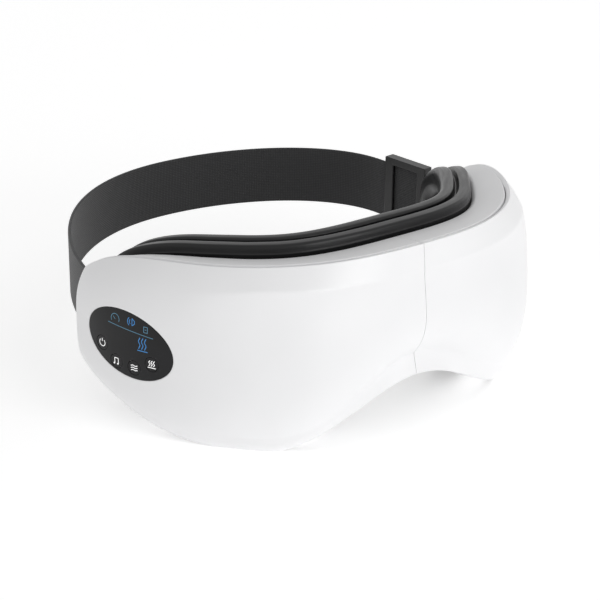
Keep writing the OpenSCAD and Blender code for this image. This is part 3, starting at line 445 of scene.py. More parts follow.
def shell_section(p, density=1):
    """Outward distance and height along the section, from the lower edge to the rim, for each station.
    In front: a quarter turn for the skirt, a straight face with a parabola on it, a straight band.
    At the temple: one less a power of the distance from the middle. A smooth step goes between the two."""
    x = np.abs(rim_x(p))[:, None]
    top, low, share = rim_z(p)[:, None], edge_z(p)[:, None], tip_share(p)[:, None]
    nose = 1 - ease((x - NOSE_START) / NOSE_RUN)
    fade = ease((x - FADE_START) / FADE_RUN)
    crease_out = mix(CREASE_NOSE, CREASE_PROUD, ease(x / CREASE_RUN))
    crease_z = RIM_HEIGHT - BAND_HEIGHT + BAND_NARROWING * (x / RIM_HALF_WIDTH) ** 2
    skirt_out = mix(SKIRT_OUT, SKIRT_NOSE_OUT, nose)
    skirt_z = low + mix(SKIRT_HEIGHT, SKIRT_NOSE_HEIGHT, nose)
    t = np.linspace(0, 1, SKIRT_STEPS * density, endpoint=False)[None]
    turn = t * np.pi / 2
    roll_out = mix(mix(SHELL_EDGE_OUT, skirt_out, np.sin(turn)), mix(SHELL_EDGE_OUT, skirt_out, t), nose)
    roll_z = mix(mix(low, skirt_z, 1 - np.cos(turn)), mix(low, skirt_z, t), nose)
    f = np.linspace(0, 1, FACE_STEPS * density, endpoint=False)[None]
    g = 1 - (1 - f) ** CROWN_SKEW
    crowned_out = mix(skirt_out, crease_out, f) + FACE_CROWN * 4 * g * (1 - g)
    b = np.linspace(0, 1, BAND_STEPS * density)[None]
    out = np.concatenate([roll_out, crowned_out, mix(crease_out, SHELL_TOP_OUT, b)], axis=1)
    z = np.concatenate([roll_z, mix(skirt_z, crease_z, f), mix(crease_z, top, b)], axis=1)
    s = np.concatenate([SKIRT_SHARE * t, mix(SKIRT_SHARE, CREASE_SHARE, f), mix(CREASE_SHARE, 1, b)], axis=1)
    round_out = mix(SHELL_TOP_OUT, TEMPLE_SWELL * share, 1 - np.abs(2 * s - 1) ** SWELL_POWER)
    return soften(mix(out, round_out, fade)), soften(mix(z, mix(low, top, s), fade))


print("Points in a section:", SKIRT_STEPS + FACE_STEPS + BAND_STEPS)

# %% [markdown]
# The section is now carried along each half of the rim, from the seam at the nose to the temple tip.
# Equal steps of angle would crowd the points at the nose, so the stations are set at equal lengths.
# The seam itself is only a narrow gap between the two halves.

# %% Stations and skins
SHELL_WALL = 2
SHELL_EDGE = 0.15
SEAM_GAP = 0.16
HALF_COUNT = 170
LENGTH_SAMPLES = 2000


def even_stations(first, last, count):
    """Stations at equal distances along the rim: the length is summed up and read backwards."""
    p = np.linspace(first, last, LENGTH_SAMPLES)
    step = np.hypot(np.diff(rim_x(p)), np.diff(rim_y(p)))
    return np.interp(np.linspace(0, step.sum(), count), np.append(0, np.cumsum(step)), p)


def two_skins(stations, section, wall):
    """A grid of stations by section points, and the same grid moved by the wall against its normal."""
    out, z = section(stations)
    front = out_point(stations[:, None], out, z)
    normal = unit(np.cross(np.gradient(front, axis=0), np.gradient(front, axis=1)))
    back = front - wall * normal
    return front.reshape(-1, 3), back.reshape(-1, 3), grid_quads(*out.shape)


half_stations = even_stations(station_at_x(SEAM_GAP / 2), LAST_STATION, HALF_COUNT)
print("Stations in a half:", len(half_stations))

# %% [markdown]
# The control window sits in an oval hole in the panel-side shell. A Boolean could cut it, but it leaves
# many-sided faces that shade badly on a glossy curve. Here the cells inside the oval are left out,
# and the points round the hole are moved along the surface onto the oval.

# %% The panel's own axes
PANEL_STATION = -57.6
PANEL_Z = 39.2
PANEL_LENGTH = 39
PANEL_HEIGHT = 25.4
PANEL_SLOPE = np.radians(11)
PANEL_GAP = 0.1
PANEL_TRIES = 6
# About how far the rim runs for each degree of station, at the sides of the mask.
RIM_MM_PER_DEGREE = 2.16
panel_out = np.array([*rim_normal(PANEL_STATION), 0])
panel_in = -panel_out
panel_along = np.array([panel_out[1], -panel_out[0], 0])
panel_origin = out_point(PANEL_STATION, 0, 0.0)


def face_out(p, z):
    """How far the front surface stands out at a station and a height: read from a closer section."""
    out, height = shell_section(p, density=3)
    k = np.clip((height < z[:, None]).sum(axis=1), 1, height.shape[1] - 1)
    row = np.arange(len(p))
    low, high = height[row, k - 1], height[row, k]
    return mix(out[row, k - 1], out[row, k], (z - low) / (high - low))


def panel_surface(x, z):
    """The point of the front surface at a distance along the panel and a height above its middle.
    The station starts from a guess and moves by what is missing along the panel."""
    x, z = np.ravel(x).astype(float), np.ravel(z) + PANEL_Z
    p = PANEL_STATION - x / RIM_MM_PER_DEGREE
    for _ in range(PANEL_TRIES):
        point = out_point(p, face_out(p, z), z)
        p = p - (x - (point - panel_origin) @ panel_along) / RIM_MM_PER_DEGREE
    return point


def oval_share(x, z, gap):
    """1 on the oval, less inside it: the long axis is turned by the panel's slope."""
    long = x * np.cos(PANEL_SLOPE) + z * np.sin(PANEL_SLOPE)
    short = z * np.cos(PANEL_SLOPE) - x * np.sin(PANEL_SLOPE)
    return np.hypot(long / (PANEL_LENGTH / 2 + gap), short / (PANEL_HEIGHT / 2 + gap))


def border_points(quads, keep, count):
    """Numbers of the points that touch both a kept cell and a cell left out."""
    kept = np.isin(np.arange(count), quads[keep])
    left = np.isin(np.arange(count), quads[~keep])
    return np.flatnonzero(kept & left)


print("Middle of the panel, mm:", np.round(panel_surface(0, 0)[0], 1))

# %% The two front shells
FAR_OUTSIDE = 9

front, back, quads = two_skins(half_stations, shell_section, SHELL_WALL)
shell_right = new_piece("front_shell_right", *close_sheet(front, back, quads, SHELL_EDGE), white_abs)

front, back, quads = two_skins(-half_stations[::-1], shell_section, SHELL_WALL)
along, height = (front - panel_origin) @ panel_along, front[:, 2] - PANEL_Z
share = np.where(front[:, 0] < -RIM_HALF_WIDTH / 2, oval_share(along, height, PANEL_GAP), FAR_OUTSIDE)
keep = share[quads].mean(axis=1) > 1
hole = border_points(quads, keep, len(front))
front[hole] = panel_surface(along[hole] / share[hole], height[hole] / share[hole])
back[hole] = front[hole] + SHELL_WALL * panel_in
shell_left = new_piece("front_shell_left", *close_sheet(front, back, quads[keep], SHELL_EDGE), white_abs)

# %% [markdown]
# The grey rear frame shows as the ledge between the white rim and the cushion. It closes the shell behind:
# a sloping ledge, a rounded corner, the rear wall behind the cushion and a floor with the charging slot.
# It is made as the shells are, from a section along the rim, so that its ledge starts where their rim ends.

# %% Section of the rear frame
FRAME_WALL = 2
FRAME_ROUND = 2.5
FRAME_EDGE = 0.3
LEDGE_NOSE = 15
LEDGE_POD = 13
LEDGE_TEMPLE = 7.5
LEDGE_FALL = 2
LEDGE_FRONT = -0.2
FLOOR_FRONT = -1.3
# Stations, in degrees, over which the ledge narrows.
POD_RUN = 30
TEMPLE_START, TEMPLE_RUN = 40, 32
LEDGE_STEPS, CORNER_STEPS, WALL_STEPS = 12, 9, 20
# Rows of points across the floor; the two long sides of the charging slot are among them.
SLOT_BACK, SLOT_FRONT = 0.151, 0.562
FLOOR_SHARES = np.array([0.075, SLOT_BACK, 0.288, 0.425, SLOT_FRONT, 0.7, 0.85, 1])


def ledge(p):
    """Width of the grey ledge: it narrows a little to the pods and more to the temples."""
    p = np.abs(p)
    to_pod = (LEDGE_POD - LEDGE_NOSE) * ease(p / POD_RUN)
    to_temple = (LEDGE_TEMPLE - LEDGE_POD) * ease((p - TEMPLE_START) / TEMPLE_RUN)
    return LEDGE_NOSE + to_pod + to_temple


def frame_section(p):
    """Outward distance and height: along the ledge, round the corner, down the wall, forward on the floor.
    The ledge, the wall and the floor are straight, and the corners are quarter circles."""
    top, low, back = rim_z(p)[:, None], edge_z(p)[:, None], -ledge(p)[:, None]
    roof, r = top - LEDGE_FALL, FRAME_ROUND
    t = np.linspace(0, 1, LEDGE_STEPS, endpoint=False)[None]
    quarter = np.linspace(0, np.pi / 2, CORNER_STEPS)[None]
    w = np.linspace(0, 1, WALL_STEPS + 2)[None, 1:-1]
    out = [mix(LEDGE_FRONT, back + r, t), back + r - r * np.sin(quarter), back + 0 * w,
           back + r - r * np.cos(quarter), mix(back + r, FLOOR_FRONT, FLOOR_SHARES)]
    z = [mix(top, roof, t), roof - r + r * np.cos(quarter), mix(roof - r, low + r, w),
         low + r - r * np.sin(quarter), np.repeat(low, len(FLOOR_SHARES), axis=1)]
    return np.concatenate(out, axis=1), np.concatenate(z, axis=1)


print("Ledge at the nose and at a tip, mm:", ledge(0.0), round(float(ledge(LAST_STATION)), 1))

# %% The two rear frames
HINGE_Y = FRONT_Y + LEDGE_NOSE
HINGE_LOW = ARCH_HEIGHT + 15
HINGE_HIGH = RIM_HEIGHT - 10.5
NOTCH_REACH = 4
NOTCH_ROOM = 1.5
SOCKET_STATION = -47
SOCKET_HALF = 4.65


def clear_of_hinge(middle):
    """True for cells away from the hinge knuckles, which stand in a notch in the rear wall."""
    beside = np.abs(middle[:, 0]) > NOTCH_REACH
    above = np.abs(middle[:, 2] - (HINGE_LOW + HINGE_HIGH) / 2) > (HINGE_HIGH - HINGE_LOW) / 2 + NOTCH_ROOM
    return beside | above | (middle[:, 1] < HINGE_Y - FRAME_ROUND)


front, back, quads = two_skins(half_stations, frame_section, FRAME_WALL)
keep = clear_of_hinge(front[quads].mean(axis=1))
frame_right = new_piece("rear_frame_right", *close_sheet(front, back, quads[keep], FRAME_EDGE), grey_abs)

left_stations = -half_stations[::-1]
slot_ends = SOCKET_STATION + np.array([-1, 1]) * SOCKET_HALF / RIM_MM_PER_DEGREE
slot_rows = np.searchsorted(left_stations, slot_ends)
left_stations[slot_rows] = slot_ends
front, back, quads = two_skins(left_stations, frame_section, FRAME_WALL)
section_count = len(front) // len(left_stations)
slot_cols = section_count - len(FLOOR_SHARES) + np.searchsorted(FLOOR_SHARES, [SLOT_BACK, SLOT_FRONT])
row, col = np.divmod(quads.min(axis=1), section_count)
in_slot = (row >= slot_rows[0]) & (row < slot_rows[1]) & (col >= slot_cols[0]) & (col < slot_cols[1])
keep = clear_of_hinge(front[quads].mean(axis=1)) & ~in_slot
frame_left = new_piece("rear_frame_left", *close_sheet(front, back, quads[keep], FRAME_EDGE), grey_abs)

# %% [markdown]
# A plate closes each half at the fold, so that a folded mask shows two clean ends and not a hollow shell.
# A plain cube would do, but its edges would be sharp; a flat grid with two skins has the frame's own rounds.

# %% Webs at the fold
WEB_X = 1.6
WEB_THICK = 2
WEB_FRONT = HINGE_Y - 10.5
WEB_BACK = HINGE_Y - 3.8
WEB_LOW = ARCH_HEIGHT + 0.9
WEB_HIGH = RIM_HEIGHT - LEDGE_FALL - 0.6
WEB_COLUMNS, WEB_ROWS = 8, 40


def fold_web(name, side):
    """A flat plate that closes the frame at the fold: a grid between four straight edges."""
    y, z = np.meshgrid(np.linspace(WEB_FRONT, WEB_BACK, WEB_COLUMNS),
                       np.linspace(WEB_LOW, WEB_HIGH, WEB_ROWS), indexing="ij")
    front = np.stack([side * (WEB_X + 0 * y), y, z], axis=-1).reshape(-1, 3)
    back = front + [side * WEB_THICK, 0, 0]
    quads = grid_quads(*y.shape)
    sheet = close_sheet(front, back, quads if side < 0 else quads[:, ::-1], FRAME_EDGE)
    return new_piece(name, *sheet, grey_abs)


web_left = fold_web("fold_web_left", -1)
web_right = fold_web("fold_web_right", 1)

# %% [markdown]
# The cushion is one soft ring: along the top, round each temple and back under the eyes.
# A cloth simulation would inflate a plain tube, but this skin is tight on moulded foam and keeps two lips
# with a narrow groove between them. So a smooth section runs along a squarish ring, and a few slow waves
# make the foam a little uneven.

# %% The cushion's ring and section
RING_STATION = 68
RING_LOW_RISE = 5.7
RING_POWER = 8
RING_SAMPLES = 8001
# Points of the section in millimetres: outward across the ring, and away from the rear wall.
CUSHION_SECTION = np.array([
    (-6.8, 0), (-3.5, 0), (-0.6, 0), (0.2, -0.1), (0.7, -0.25), (1.2, -0.05), (2.6, 0.15), (3.6, 0.4),
    (4.1, 0.9), (4.2, 1.8), (4.2, 3.4), (4.05, 4.3), (3.6, 4.8), (2.6, 5.15), (1.8, 5.5), (1.5, 5.9),
    (1.8, 6.3), (2.6, 6.55), (3.8, 6.8), (4.35, 7.3), (4.5, 8.2), (4.5, 9.6), (4.3, 10.6), (3.7, 11.4),
    (2.2, 12.1), (0, 12.45), (-2.4, 12.5), (-5, 11.8), (-6.6, 10.4), (-7.3, 8.2), (-7.4, 5), (-7.2, 2)])
SECTION_STEPS = 4
# Each wave of the foam: its height, its count round the ring and its phase.
FOAM_WAVES = ((0.5, 7, 0.4), (0.3, 17, 2.1), (0.2, 31, 4.2))


def ring_place(t):
    """Station and height of the ring's line: a squarish superellipse, stretched to rim and lower edge."""
    c, s = np.cos(t), np.sin(t)
    reach = (np.abs(c) ** RING_POWER + np.abs(s) ** RING_POWER) ** (-1 / RING_POWER)
    p, s = RING_STATION * c * reach, s * reach
    top, low = rim_z(p) - LEDGE_FALL, edge_z(p) + RING_LOW_RISE
    return p, TEMPLE_Z + np.maximum(s, 0) * (top - TEMPLE_Z) + np.minimum(s, 0) * (TEMPLE_Z - low)


def smooth_loop(points, steps):
    """A closed Catmull-Rom curve: each stretch is a cubic that follows the two neighbours on both sides."""
    a, b = np.roll(points, 1, axis=0), points
    c, d = np.roll(points, -1, axis=0), np.roll(points, -2, axis=0)
    t = np.linspace(0, 1, steps, endpoint=False)[None, :, None]
    a, b, c, d = (q[:, None] for q in (a, b, c, d))
    curve = b + 0.5 * t * (c - a + t * (2 * a - 5 * b + 4 * c - d + t * (3 * (b - c) + d - a)))
    return curve.reshape(-1, points.shape[1])


def even_ring(count):
    """The ring's stations and heights at equal steps of length, and those lengths."""
    p, z = ring_place(np.linspace(0, 2 * np.pi, RING_SAMPLES))
    wall = out_point(p, -ledge(p), z)
    length = np.append(0, np.cumsum(np.linalg.norm(np.diff(wall, axis=0), axis=1)))
    s = np.linspace(0, length[-1], count, endpoint=False)
    return np.interp(s, length, p), np.interp(s, length, z), s


def slow_waves(s, total):
    """A few sine waves round the ring, with fixed phases, for the unevenness of soft foam."""
    turn = 2 * np.pi * s / total
    return sum(height * np.sin(count * turn + phase) for height, count, phase in FOAM_WAVES)


section = smooth_loop(CUSHION_SECTION, SECTION_STEPS)
print("Points in the cushion's section:", len(section))

# %% The cushion
CUSHION_GAP = 0.25
CUSHION_STEPS = 560
FOAM_UNEVEN = 0.02
SECTION_MAP_MM = 0.35
SMALL_TURN = 0.01

p, z, s = even_ring(CUSHION_STEPS)
wall = out_point(p, -ledge(p), z)
nx, ny = rim_normal(p)
along = np.roll(wall, -1, axis=0) - np.roll(wall, 1, axis=0)
inward = np.stack([-nx, -ny, 0 * nx], axis=-1)
across = unit(np.cross(inward, along))
tangent = np.stack([-ny, nx, 0 * nx], axis=-1)
# The section stays on the curved wall: its reach along the rim is turned into degrees of station.
turned = p + SMALL_TURN
wall_speed = np.linalg.norm(out_point(turned, -ledge(turned), z) - wall, axis=1) / SMALL_TURN
soft = 1 + FOAM_UNEVEN * slow_waves(s, s[-1])[:, None]
side_way, face_way = section[None, :, 0] * soft, section[None, :, 1] * (2 - soft)
q = p[:, None] + side_way * (across * tangent).sum(axis=1)[:, None] / wall_speed[:, None]
points = out_point(q, -ledge(q) - CUSHION_GAP - face_way, z[:, None] + across[:, 2:] * side_way)
faces = grid_quads(*points.shape[:2], wrap_rows=True, wrap_cols=True)
points = points.reshape(-1, 3)
same_place = np.arange(len(points))
round_section = np.arange(len(section)) * SECTION_MAP_MM
ring_map = np.stack(np.broadcast_arrays(s[:, None], round_section), axis=-1).reshape(-1, 2)
cushion = new_piece("face_cushion", points, faces, same_place, cushion_skin, ring_map)

# %% [markdown]
# Inside the ring a thin padded knit covers the heating films and the air bladders.
# It could be a flat cut of cloth, but it is quilted over two soft pads, one for each eye.
# So it is a sheet of two skins whose front rises in two pillows, with its border tucked under the cushion.

# %% The lining inside the ring
LINING_STATION = 64
LINING_TUCK = 2
LINING_DEPTH = 3.35
LINING_EDGE = 1.6
LINING_CROWN = 2
LINING_ROUND = 0.7
CUSHION_WIDTH = 7.4
LINING_COLUMNS, LINING_ROWS = 190, 60
NEAR_ONE = 0.9995
# At its two ends the lining keeps this share of its height, and a squarish round makes up the rest.
END_SHARE, ROUND_SHARE, ROUND_POWER = 0.8, 0.2, 8

u, v = np.meshgrid(np.linspace(-NEAR_ONE, NEAR_ONE, LINING_COLUMNS), np.linspace(-1, 1, LINING_ROWS),
                   indexing="ij")
p = LINING_STATION * u
top = rim_z(p) - LEDGE_FALL - CUSHION_WIDTH + LINING_TUCK
low = edge_z(p) + RING_LOW_RISE + CUSHION_WIDTH - LINING_TUCK
half = (top - low) / 2 * (END_SHARE + ROUND_SHARE * (1 - u**ROUND_POWER) ** (1 / ROUND_POWER))
z = (top + low) / 2 + half * v
# One pillow for each eye: flat at the border and at the nose, and full between them.
pillow = (1 - (2 * np.abs(u) - 1) ** 4) * (1 - v**4)
front = out_point(p, -ledge(p) - LINING_DEPTH - LINING_EDGE - LINING_CROWN * pillow, z).reshape(-1, 3)
back = out_point(p, -ledge(p) - LINING_DEPTH, z).reshape(-1, 3)
lining_map = np.stack([RIM_MM_PER_DEGREE * p, z], axis=-1).reshape(-1, 2)
sheet = close_sheet(front, back, grid_quads(*u.shape)[:, ::-1], LINING_ROUND)
lining = new_piece("eye_lining", *sheet, lining_knit, lining_map)

# %% [markdown]
# The control window is black acrylic, flush with the shell, with four round keys in it.
# A disc could be cut with Booleans, which would leave slivers round the keys.
# Here a square grid is bent into the oval, so that the border is exact,
# and the cells at the keys are left out.

# %% The acrylic
drift_scale, smear_scale = per_metre(9), per_metre(4)

# Polished acrylic: nearly black and glassy, with small mirror-like lights that smear a little.
black_acrylic, tree, principled = new_material("black_acrylic_gloss", IOR=1.49, Specular_IOR_Level=0.3)
place = add(tree, "ShaderNodeTexCoord").outputs["Object"]
drift = add(tree, "ShaderNodeTexNoise", {"Vector": place, "Scale": drift_scale, "Detail": 2.0})
smear = add(tree, "ShaderNodeTexNoise", {"Vector": place, "Scale": smear_scale, "Detail": 1.0})
share = add(tree, "ShaderNodeMapRange", {"Value": drift.outputs["Fac"], **NOISE_SPAN})
tone = add(tree, "ShaderNodeMix", {MIX_SHARE: share.outputs["Result"], MIX_FROM: linear("#0a0a0c"),
                                   MIX_TO: linear("#121215")}, data_type="RGBA")
gloss = add(tree, "ShaderNodeMapRange", {"Value": smear.outputs["Fac"], **NOISE_SPAN,
                                         "To Min": 0.04, "To Max": 0.09})
fill(tree, principled, {"Base Color": tone.outputs[MIX_RESULT], "Roughness": gloss.outputs["Result"]})
print("Made:", black_acrylic.name)

# %% Window and keys
LENS_THICK = 1.6
LENS_EDGE = 0.12
LENS_GRID = 90
KEY_GRID = 24
KEY_DIAMETER = 5.6
KEY_GAP = 0.1
KEY_SINK = 0.05
KEY_REAR = 2.37
# Middles of the keys: towards the temple tip, and above the middle of the panel.
KEY_PLACES = {"key_power": (12.2, -2.6), "key_music": (5.3, -8.0),
              "key_mode": (-2.9, -8.6), "key_heat": (-10.6, -5.4)}


def disc_grid(count):
    """A square grid bent into the unit disc: each axis is shortened as the other grows."""
    u, v = np.meshgrid(np.linspace(-1, 1, count), np.linspace(-1, 1, count), indexing="ij")
    return u * np.sqrt(1 - v * v / 2), v * np.sqrt(1 - u * u / 2)


def key_cap(name, kx, kz):
    """A round cap that follows the window's curve, a hair below it, with a flat rear."""
    u, v = disc_grid(KEY_GRID)
    x, z = kx + u.ravel() * KEY_DIAMETER / 2, kz + v.ravel() * KEY_DIAMETER / 2
    front = panel_surface(x, z) + KEY_SINK * panel_in
    back = panel_origin + x[:, None] * panel_along + KEY_REAR * panel_out + np.stack(
        [0 * z, 0 * z, z + PANEL_Z], axis=-1)
    sheet = close_sheet(front, back, grid_quads(KEY_GRID, KEY_GRID)[:, ::-1], LENS_EDGE)
    return new_piece(name + "_cap", *sheet, black_acrylic)


u, v = disc_grid(LENS_GRID)
u, v = u.ravel() * PANEL_LENGTH / 2, v.ravel() * PANEL_HEIGHT / 2
x = u * np.cos(PANEL_SLOPE) - v * np.sin(PANEL_SLOPE)
z = u * np.sin(PANEL_SLOPE) + v * np.cos(PANEL_SLOPE)
quads = grid_quads(LENS_GRID, LENS_GRID)
keep = np.ones(len(quads), bool)
for kx, kz in KEY_PLACES.values():
    far = np.hypot(x - kx, z - kz) / (KEY_DIAMETER / 2 + KEY_GAP)
    keep_here = far[quads].mean(axis=1) > 1
    hole = border_points(quads, keep_here, len(x))
    x[hole] = kx + (x[hole] - kx) / far[hole]
    z[hole] = kz + (z[hole] - kz) / far[hole]
    keep &= keep_here
front = panel_surface(x, z)
back = front + LENS_THICK * panel_in
lens = new_piece("panel_window", *close_sheet(front, back, quads[keep][:, ::-1], LENS_EDGE), black_acrylic)
keys = {name: key_cap(name, *place) for name, place in KEY_PLACES.items()}

# %% [markdown]
# The signs on the keys and the lit display are thin strokes laid on the window's curve.
# Text objects would bring a font's letters, and none are needed: each sign is a few short lines.

# %% Strokes on the window
INK_PROUD = 0.03


def stroke_points(line, width):
    """Both sides of a line in the panel's plane, half the width away along its normal."""
    line = np.array(line, float)
    way = unit(np.gradient(line, axis=0))
    side = np.stack([-way[:, 1], way[:, 0]], axis=-1) * width / 2
    return line + side, line - side


def sign(name, lines, width, sink, material):
    """Ribbons on the window's surface, one for each line, each a strip of four-cornered faces."""
    points, faces, start = [], [], 0
    for line in lines:
        a, b = stroke_points(line, width)
        strip = np.stack([a, b], axis=1).reshape(-1, 2)
        points.append(panel_surface(strip[:, 0], strip[:, 1]) + (INK_PROUD - sink) * panel_out)
        faces.append(grid_quads(len(line), 2) + start)
        start += len(strip)
    points = np.concatenate(points)
    return new_piece(name, points, np.concatenate(faces), np.arange(len(points)), material)


def arc(cx, cz, r, start, end, count=24):
    """Points on a circle from one angle to another, in degrees."""
    t = np.radians(np.linspace(start, end, count))
    return np.stack([cx + r * np.cos(t), cz + r * np.sin(t)], axis=-1)


def line_between(a, b, count=6):
    """Points on a straight line."""
    return np.linspace(a, b, count)


def outline(*corners):
    """Straight lines from corner to corner, and back to the first."""
    return [line_between(a, b) for a, b in zip(corners, corners[1:] + corners[:1])]


def wave(cx, cz, length, swing, upright, count=24):
    """One and a half turns of a sine, lying or standing."""
    t = np.linspace(-0.5, 0.5, count)
    across = swing * np.sin(3 * np.pi * t)
    return np.stack([cx + across, cz + length * t] if upright else [cx + length * t, cz + across], axis=-1)


def moved(lines, place):
    """The same lines about another middle."""
    return [line + np.array(place) for line in lines]


# Printed ink: a clear matt white with a faint painted glow, so that it stays readable on the black.
white_ink = new_material("white_printed_ink", Roughness=0.5, Base_Color=linear("#f4f4f4"),
                         Emission_Color=linear("#ffffff"), Emission_Strength=0.35)[0]
# Blue light-emitting diodes behind the window: saturated strokes that glow without lighting the shell.
blue_light = new_material("blue_led_light", Roughness=0.4, Base_Color=linear("#0a1a40"),
                          Emission_Color=linear("#3585c4"), Emission_Strength=0.8)[0]
# The same diodes turned low: a paler, weaker blue for the small signs and the rule.
pale_light = new_material("pale_led_light", Roughness=0.4, Base_Color=linear("#0a1a28"),
                          Emission_Color=linear("#5f97b4"), Emission_Strength=0.6)[0]
print("Made:", white_ink.name, blue_light.name, pale_light.name)

# %% Signs on the keys
KEY_STROKE = 0.32

# Each sign is drawn in millimetres about its own middle and then moved to its key.
power_lines = [arc(0, 0, 1.4, 130, 410), line_between((0, 0.5), (0, 1.75))]
music_lines = [line_between((-0.85, 1.2), (0.85, 1.2)), line_between((-0.85, 1.2), (-0.85, -1.0)),
               line_between((0.85, 1.2), (0.85, -1.0)), arc(-0.55, -1.1, 0.2, 0, 360),
               arc(1.15, -1.1, 0.2, 0, 360)]
mode_lines = [wave(0, h, 3.0, 0.14, False) for h in (-0.9, 0, 0.9)]
heat_lines = [wave(h, 0.35, 2.3, 0.24, True) for h in (-0.95, 0, 0.95)]
heat_lines += [line_between((-1.7, -1.35), (1.7, -1.35))]
KEY_LINES = {"key_power": power_lines, "key_music": music_lines,
             "key_mode": mode_lines, "key_heat": heat_lines}
key_signs = {name: sign(name + "_sign", moved(lines, KEY_PLACES[name]), KEY_STROKE, KEY_SINK, white_ink)
             for name, lines in KEY_LINES.items()}

# %% Signs on the display
FINE_STROKE, SOUND_STROKE, WARM_STROKE = 0.24, 0.3, 0.34

gauge_lines = moved([arc(0, 0, 1.9, -30, 210), line_between((0, -0.2), (0.9, 0.8))], (5.4, 8.9))
cell_lines = moved(outline((-0.8, -1.1), (0.8, -1.1), (0.8, 1.1), (-0.8, 1.1))
                   + [line_between((-0.35, 0), (0.35, 0))], (-8.3, 7.7))
rule_line = [line_between((8.8, 6.9), (-11.4, 4.9), 30)]
sound_lines = moved(outline((-1.3, -0.5), (-1.3, 0.5), (-0.2, 1.4), (-0.2, -1.4))
                    + [arc(-0.1, 0, r, -50, 50) for r in (1.1, 1.9)], (-2.2, 9.4))
warm_lines = moved([wave(h, 0.5, 4.6, 0.3, True) for h in (-1.3, 0, 1.3)]
                   + [line_between((-2.2, -2.4), (2.2, -2.4))], (-6.8, 1.4))
display_signs = sign("display_signs", gauge_lines + cell_lines + rule_line, FINE_STROKE, 0, pale_light)
display_sound = sign("display_sound_sign", sound_lines, SOUND_STROKE, 0, blue_light)
display_heat = sign("display_heat_sign", warm_lines, WARM_STROKE, 0, blue_light)

# %% [markdown]
# The head strap is woven elastic, one long flat band from one temple round the back of the head
# to the other. A cloth simulation would crumple so thin a band, so it is modelled directly:
# a line seen from above, round the pin in each temple, and then two skins with a rounded border.

# %% The strap's line
STRAP_THICK = 1.3
STRAP_REACH = 91.5
STRAP_STEPS = 460
ANCHOR_STATION = 68.5
# Places in a temple tip: along the rim, and inward from it.
PIN_PLACE = (-2, 3)
EXIT_PLACE = (6.5, 4.3)
PIN_RADIUS = 1
LOOP_GAP = 0.05
LOOP_TURN, LOOP_STEPS = 5.2, 40
# The strap runs straight through the buckle, and then bends on round the back of the head.
STRAIGHT_RUN = (-4.4, 41)
RUN_ON = 0.7
BACK_X = 3
LEFT_HANDLE, LEFT_BACK_X, RIGHT_BACK_X = (-82, 36), -52, 45
LEFT_STEPS, RIGHT_STEPS, STRAIGHT_STEPS = 150, 130, 30
MEAN_REACH = 3
mirror = np.array([-1, 1])


def local_point(p, along, inward, z):
    """A point near a station: moved along the rim and inward, at a height."""
    nx, ny = rim_normal(p)
    return out_point(p, -inward, z) + along * np.array([-ny, nx, 0])


def bezier(a, b, c, d, count):
    """A cubic Bezier curve without its first point."""
    t = np.linspace(0, 1, count + 1)[1:, None]
    return a * (1 - t) ** 3 + 3 * b * t * (1 - t) ** 2 + 3 * c * t * t * (1 - t) + d * t**3


def even_line(points, count):
    """The line through the points at equal steps of length, with its corners rounded, and those lengths.
    Each point becomes the mean of itself and a few neighbours on both sides."""
    length = np.append(0, np.cumsum(np.linalg.norm(np.diff(points, axis=0), axis=1)))
    s = np.linspace(0, length[-1], count)
    line = np.stack([np.interp(s, length, column) for column in points.T], axis=-1)
    padded = np.concatenate([[line[0]] * MEAN_REACH, line, [line[-1]] * MEAN_REACH])
    spread = 2 * MEAN_REACH + 1
    return sum(padded[k:k + count] for k in range(spread)) / spread, s


pin = local_point(ANCHOR_STATION, *PIN_PLACE, 0.0)[:2]
exit_point = local_point(ANCHOR_STATION, *EXIT_PLACE, 0.0)[:2]
straight_end = exit_point + STRAIGHT_RUN
back_point = np.array([BACK_X, STRAP_REACH - STRAP_THICK / 2])
loop_radius = PIN_RADIUS + LOOP_GAP + STRAP_THICK / 2
leave = np.arctan2(*(exit_point - pin)[::-1]) + np.pi / 2
turn = leave + np.linspace(-LOOP_TURN, 0, LOOP_STEPS)
loop = pin + loop_radius * np.stack([np.cos(turn), np.sin(turn)], axis=-1)
left_run = bezier(exit_point * mirror, np.array(LEFT_HANDLE), np.array([LEFT_BACK_X, back_point[1]]),
                  back_point, LEFT_STEPS)
run_on = straight_end + RUN_ON * (straight_end - exit_point)
right_run = bezier(back_point, np.array([RIGHT_BACK_X, back_point[1]]), run_on, straight_end, RIGHT_STEPS)
to_exit = np.linspace(straight_end, exit_point, STRAIGHT_STEPS)[1:]
path = np.concatenate([loop * mirror, [exit_point * mirror], left_run, right_run, to_exit, loop[::-1]])
path, s = even_line(path, STRAP_STEPS)
print("Strap length, mm:", round(float(s[-1])))

# %% The strap
STRAP_Z = TEMPLE_Z + 0.3
STRAP_ROWS = 44
STRAP_EDGE = STRAP_THICK * 0.45


def band_points(line, z):
    """Every point of a flat line at every height."""
    flat = np.repeat(line[:, None], len(z), axis=1)
    height = np.broadcast_to(z[None, :, None], (len(line), len(z), 1))
    return np.concatenate([flat, height], axis=-1).reshape(-1, 3)


way = unit(np.gradient(path, axis=0))
side = np.stack([way[:, 1], -way[:, 0]], axis=-1) * STRAP_THICK / 2
z = STRAP_Z + np.linspace(-STRAP_WIDTH / 2, STRAP_WIDTH / 2, STRAP_ROWS)
outer, inner = band_points(path - side, z), band_points(path + side, z)
strap_map = np.stack(np.broadcast_arrays(s[:, None], z), axis=-1).reshape(-1, 2)
sheet = close_sheet(outer, inner, grid_quads(STRAP_STEPS, STRAP_ROWS)[:, ::-1], STRAP_EDGE)
strap = new_piece("head_strap", *sheet, strap_web, strap_map)

# %% [markdown]
# Inside are the pump, boards, motors and battery. New meshes would add nothing that shows,
# so they keep their CAD shapes, and each takes its real material.

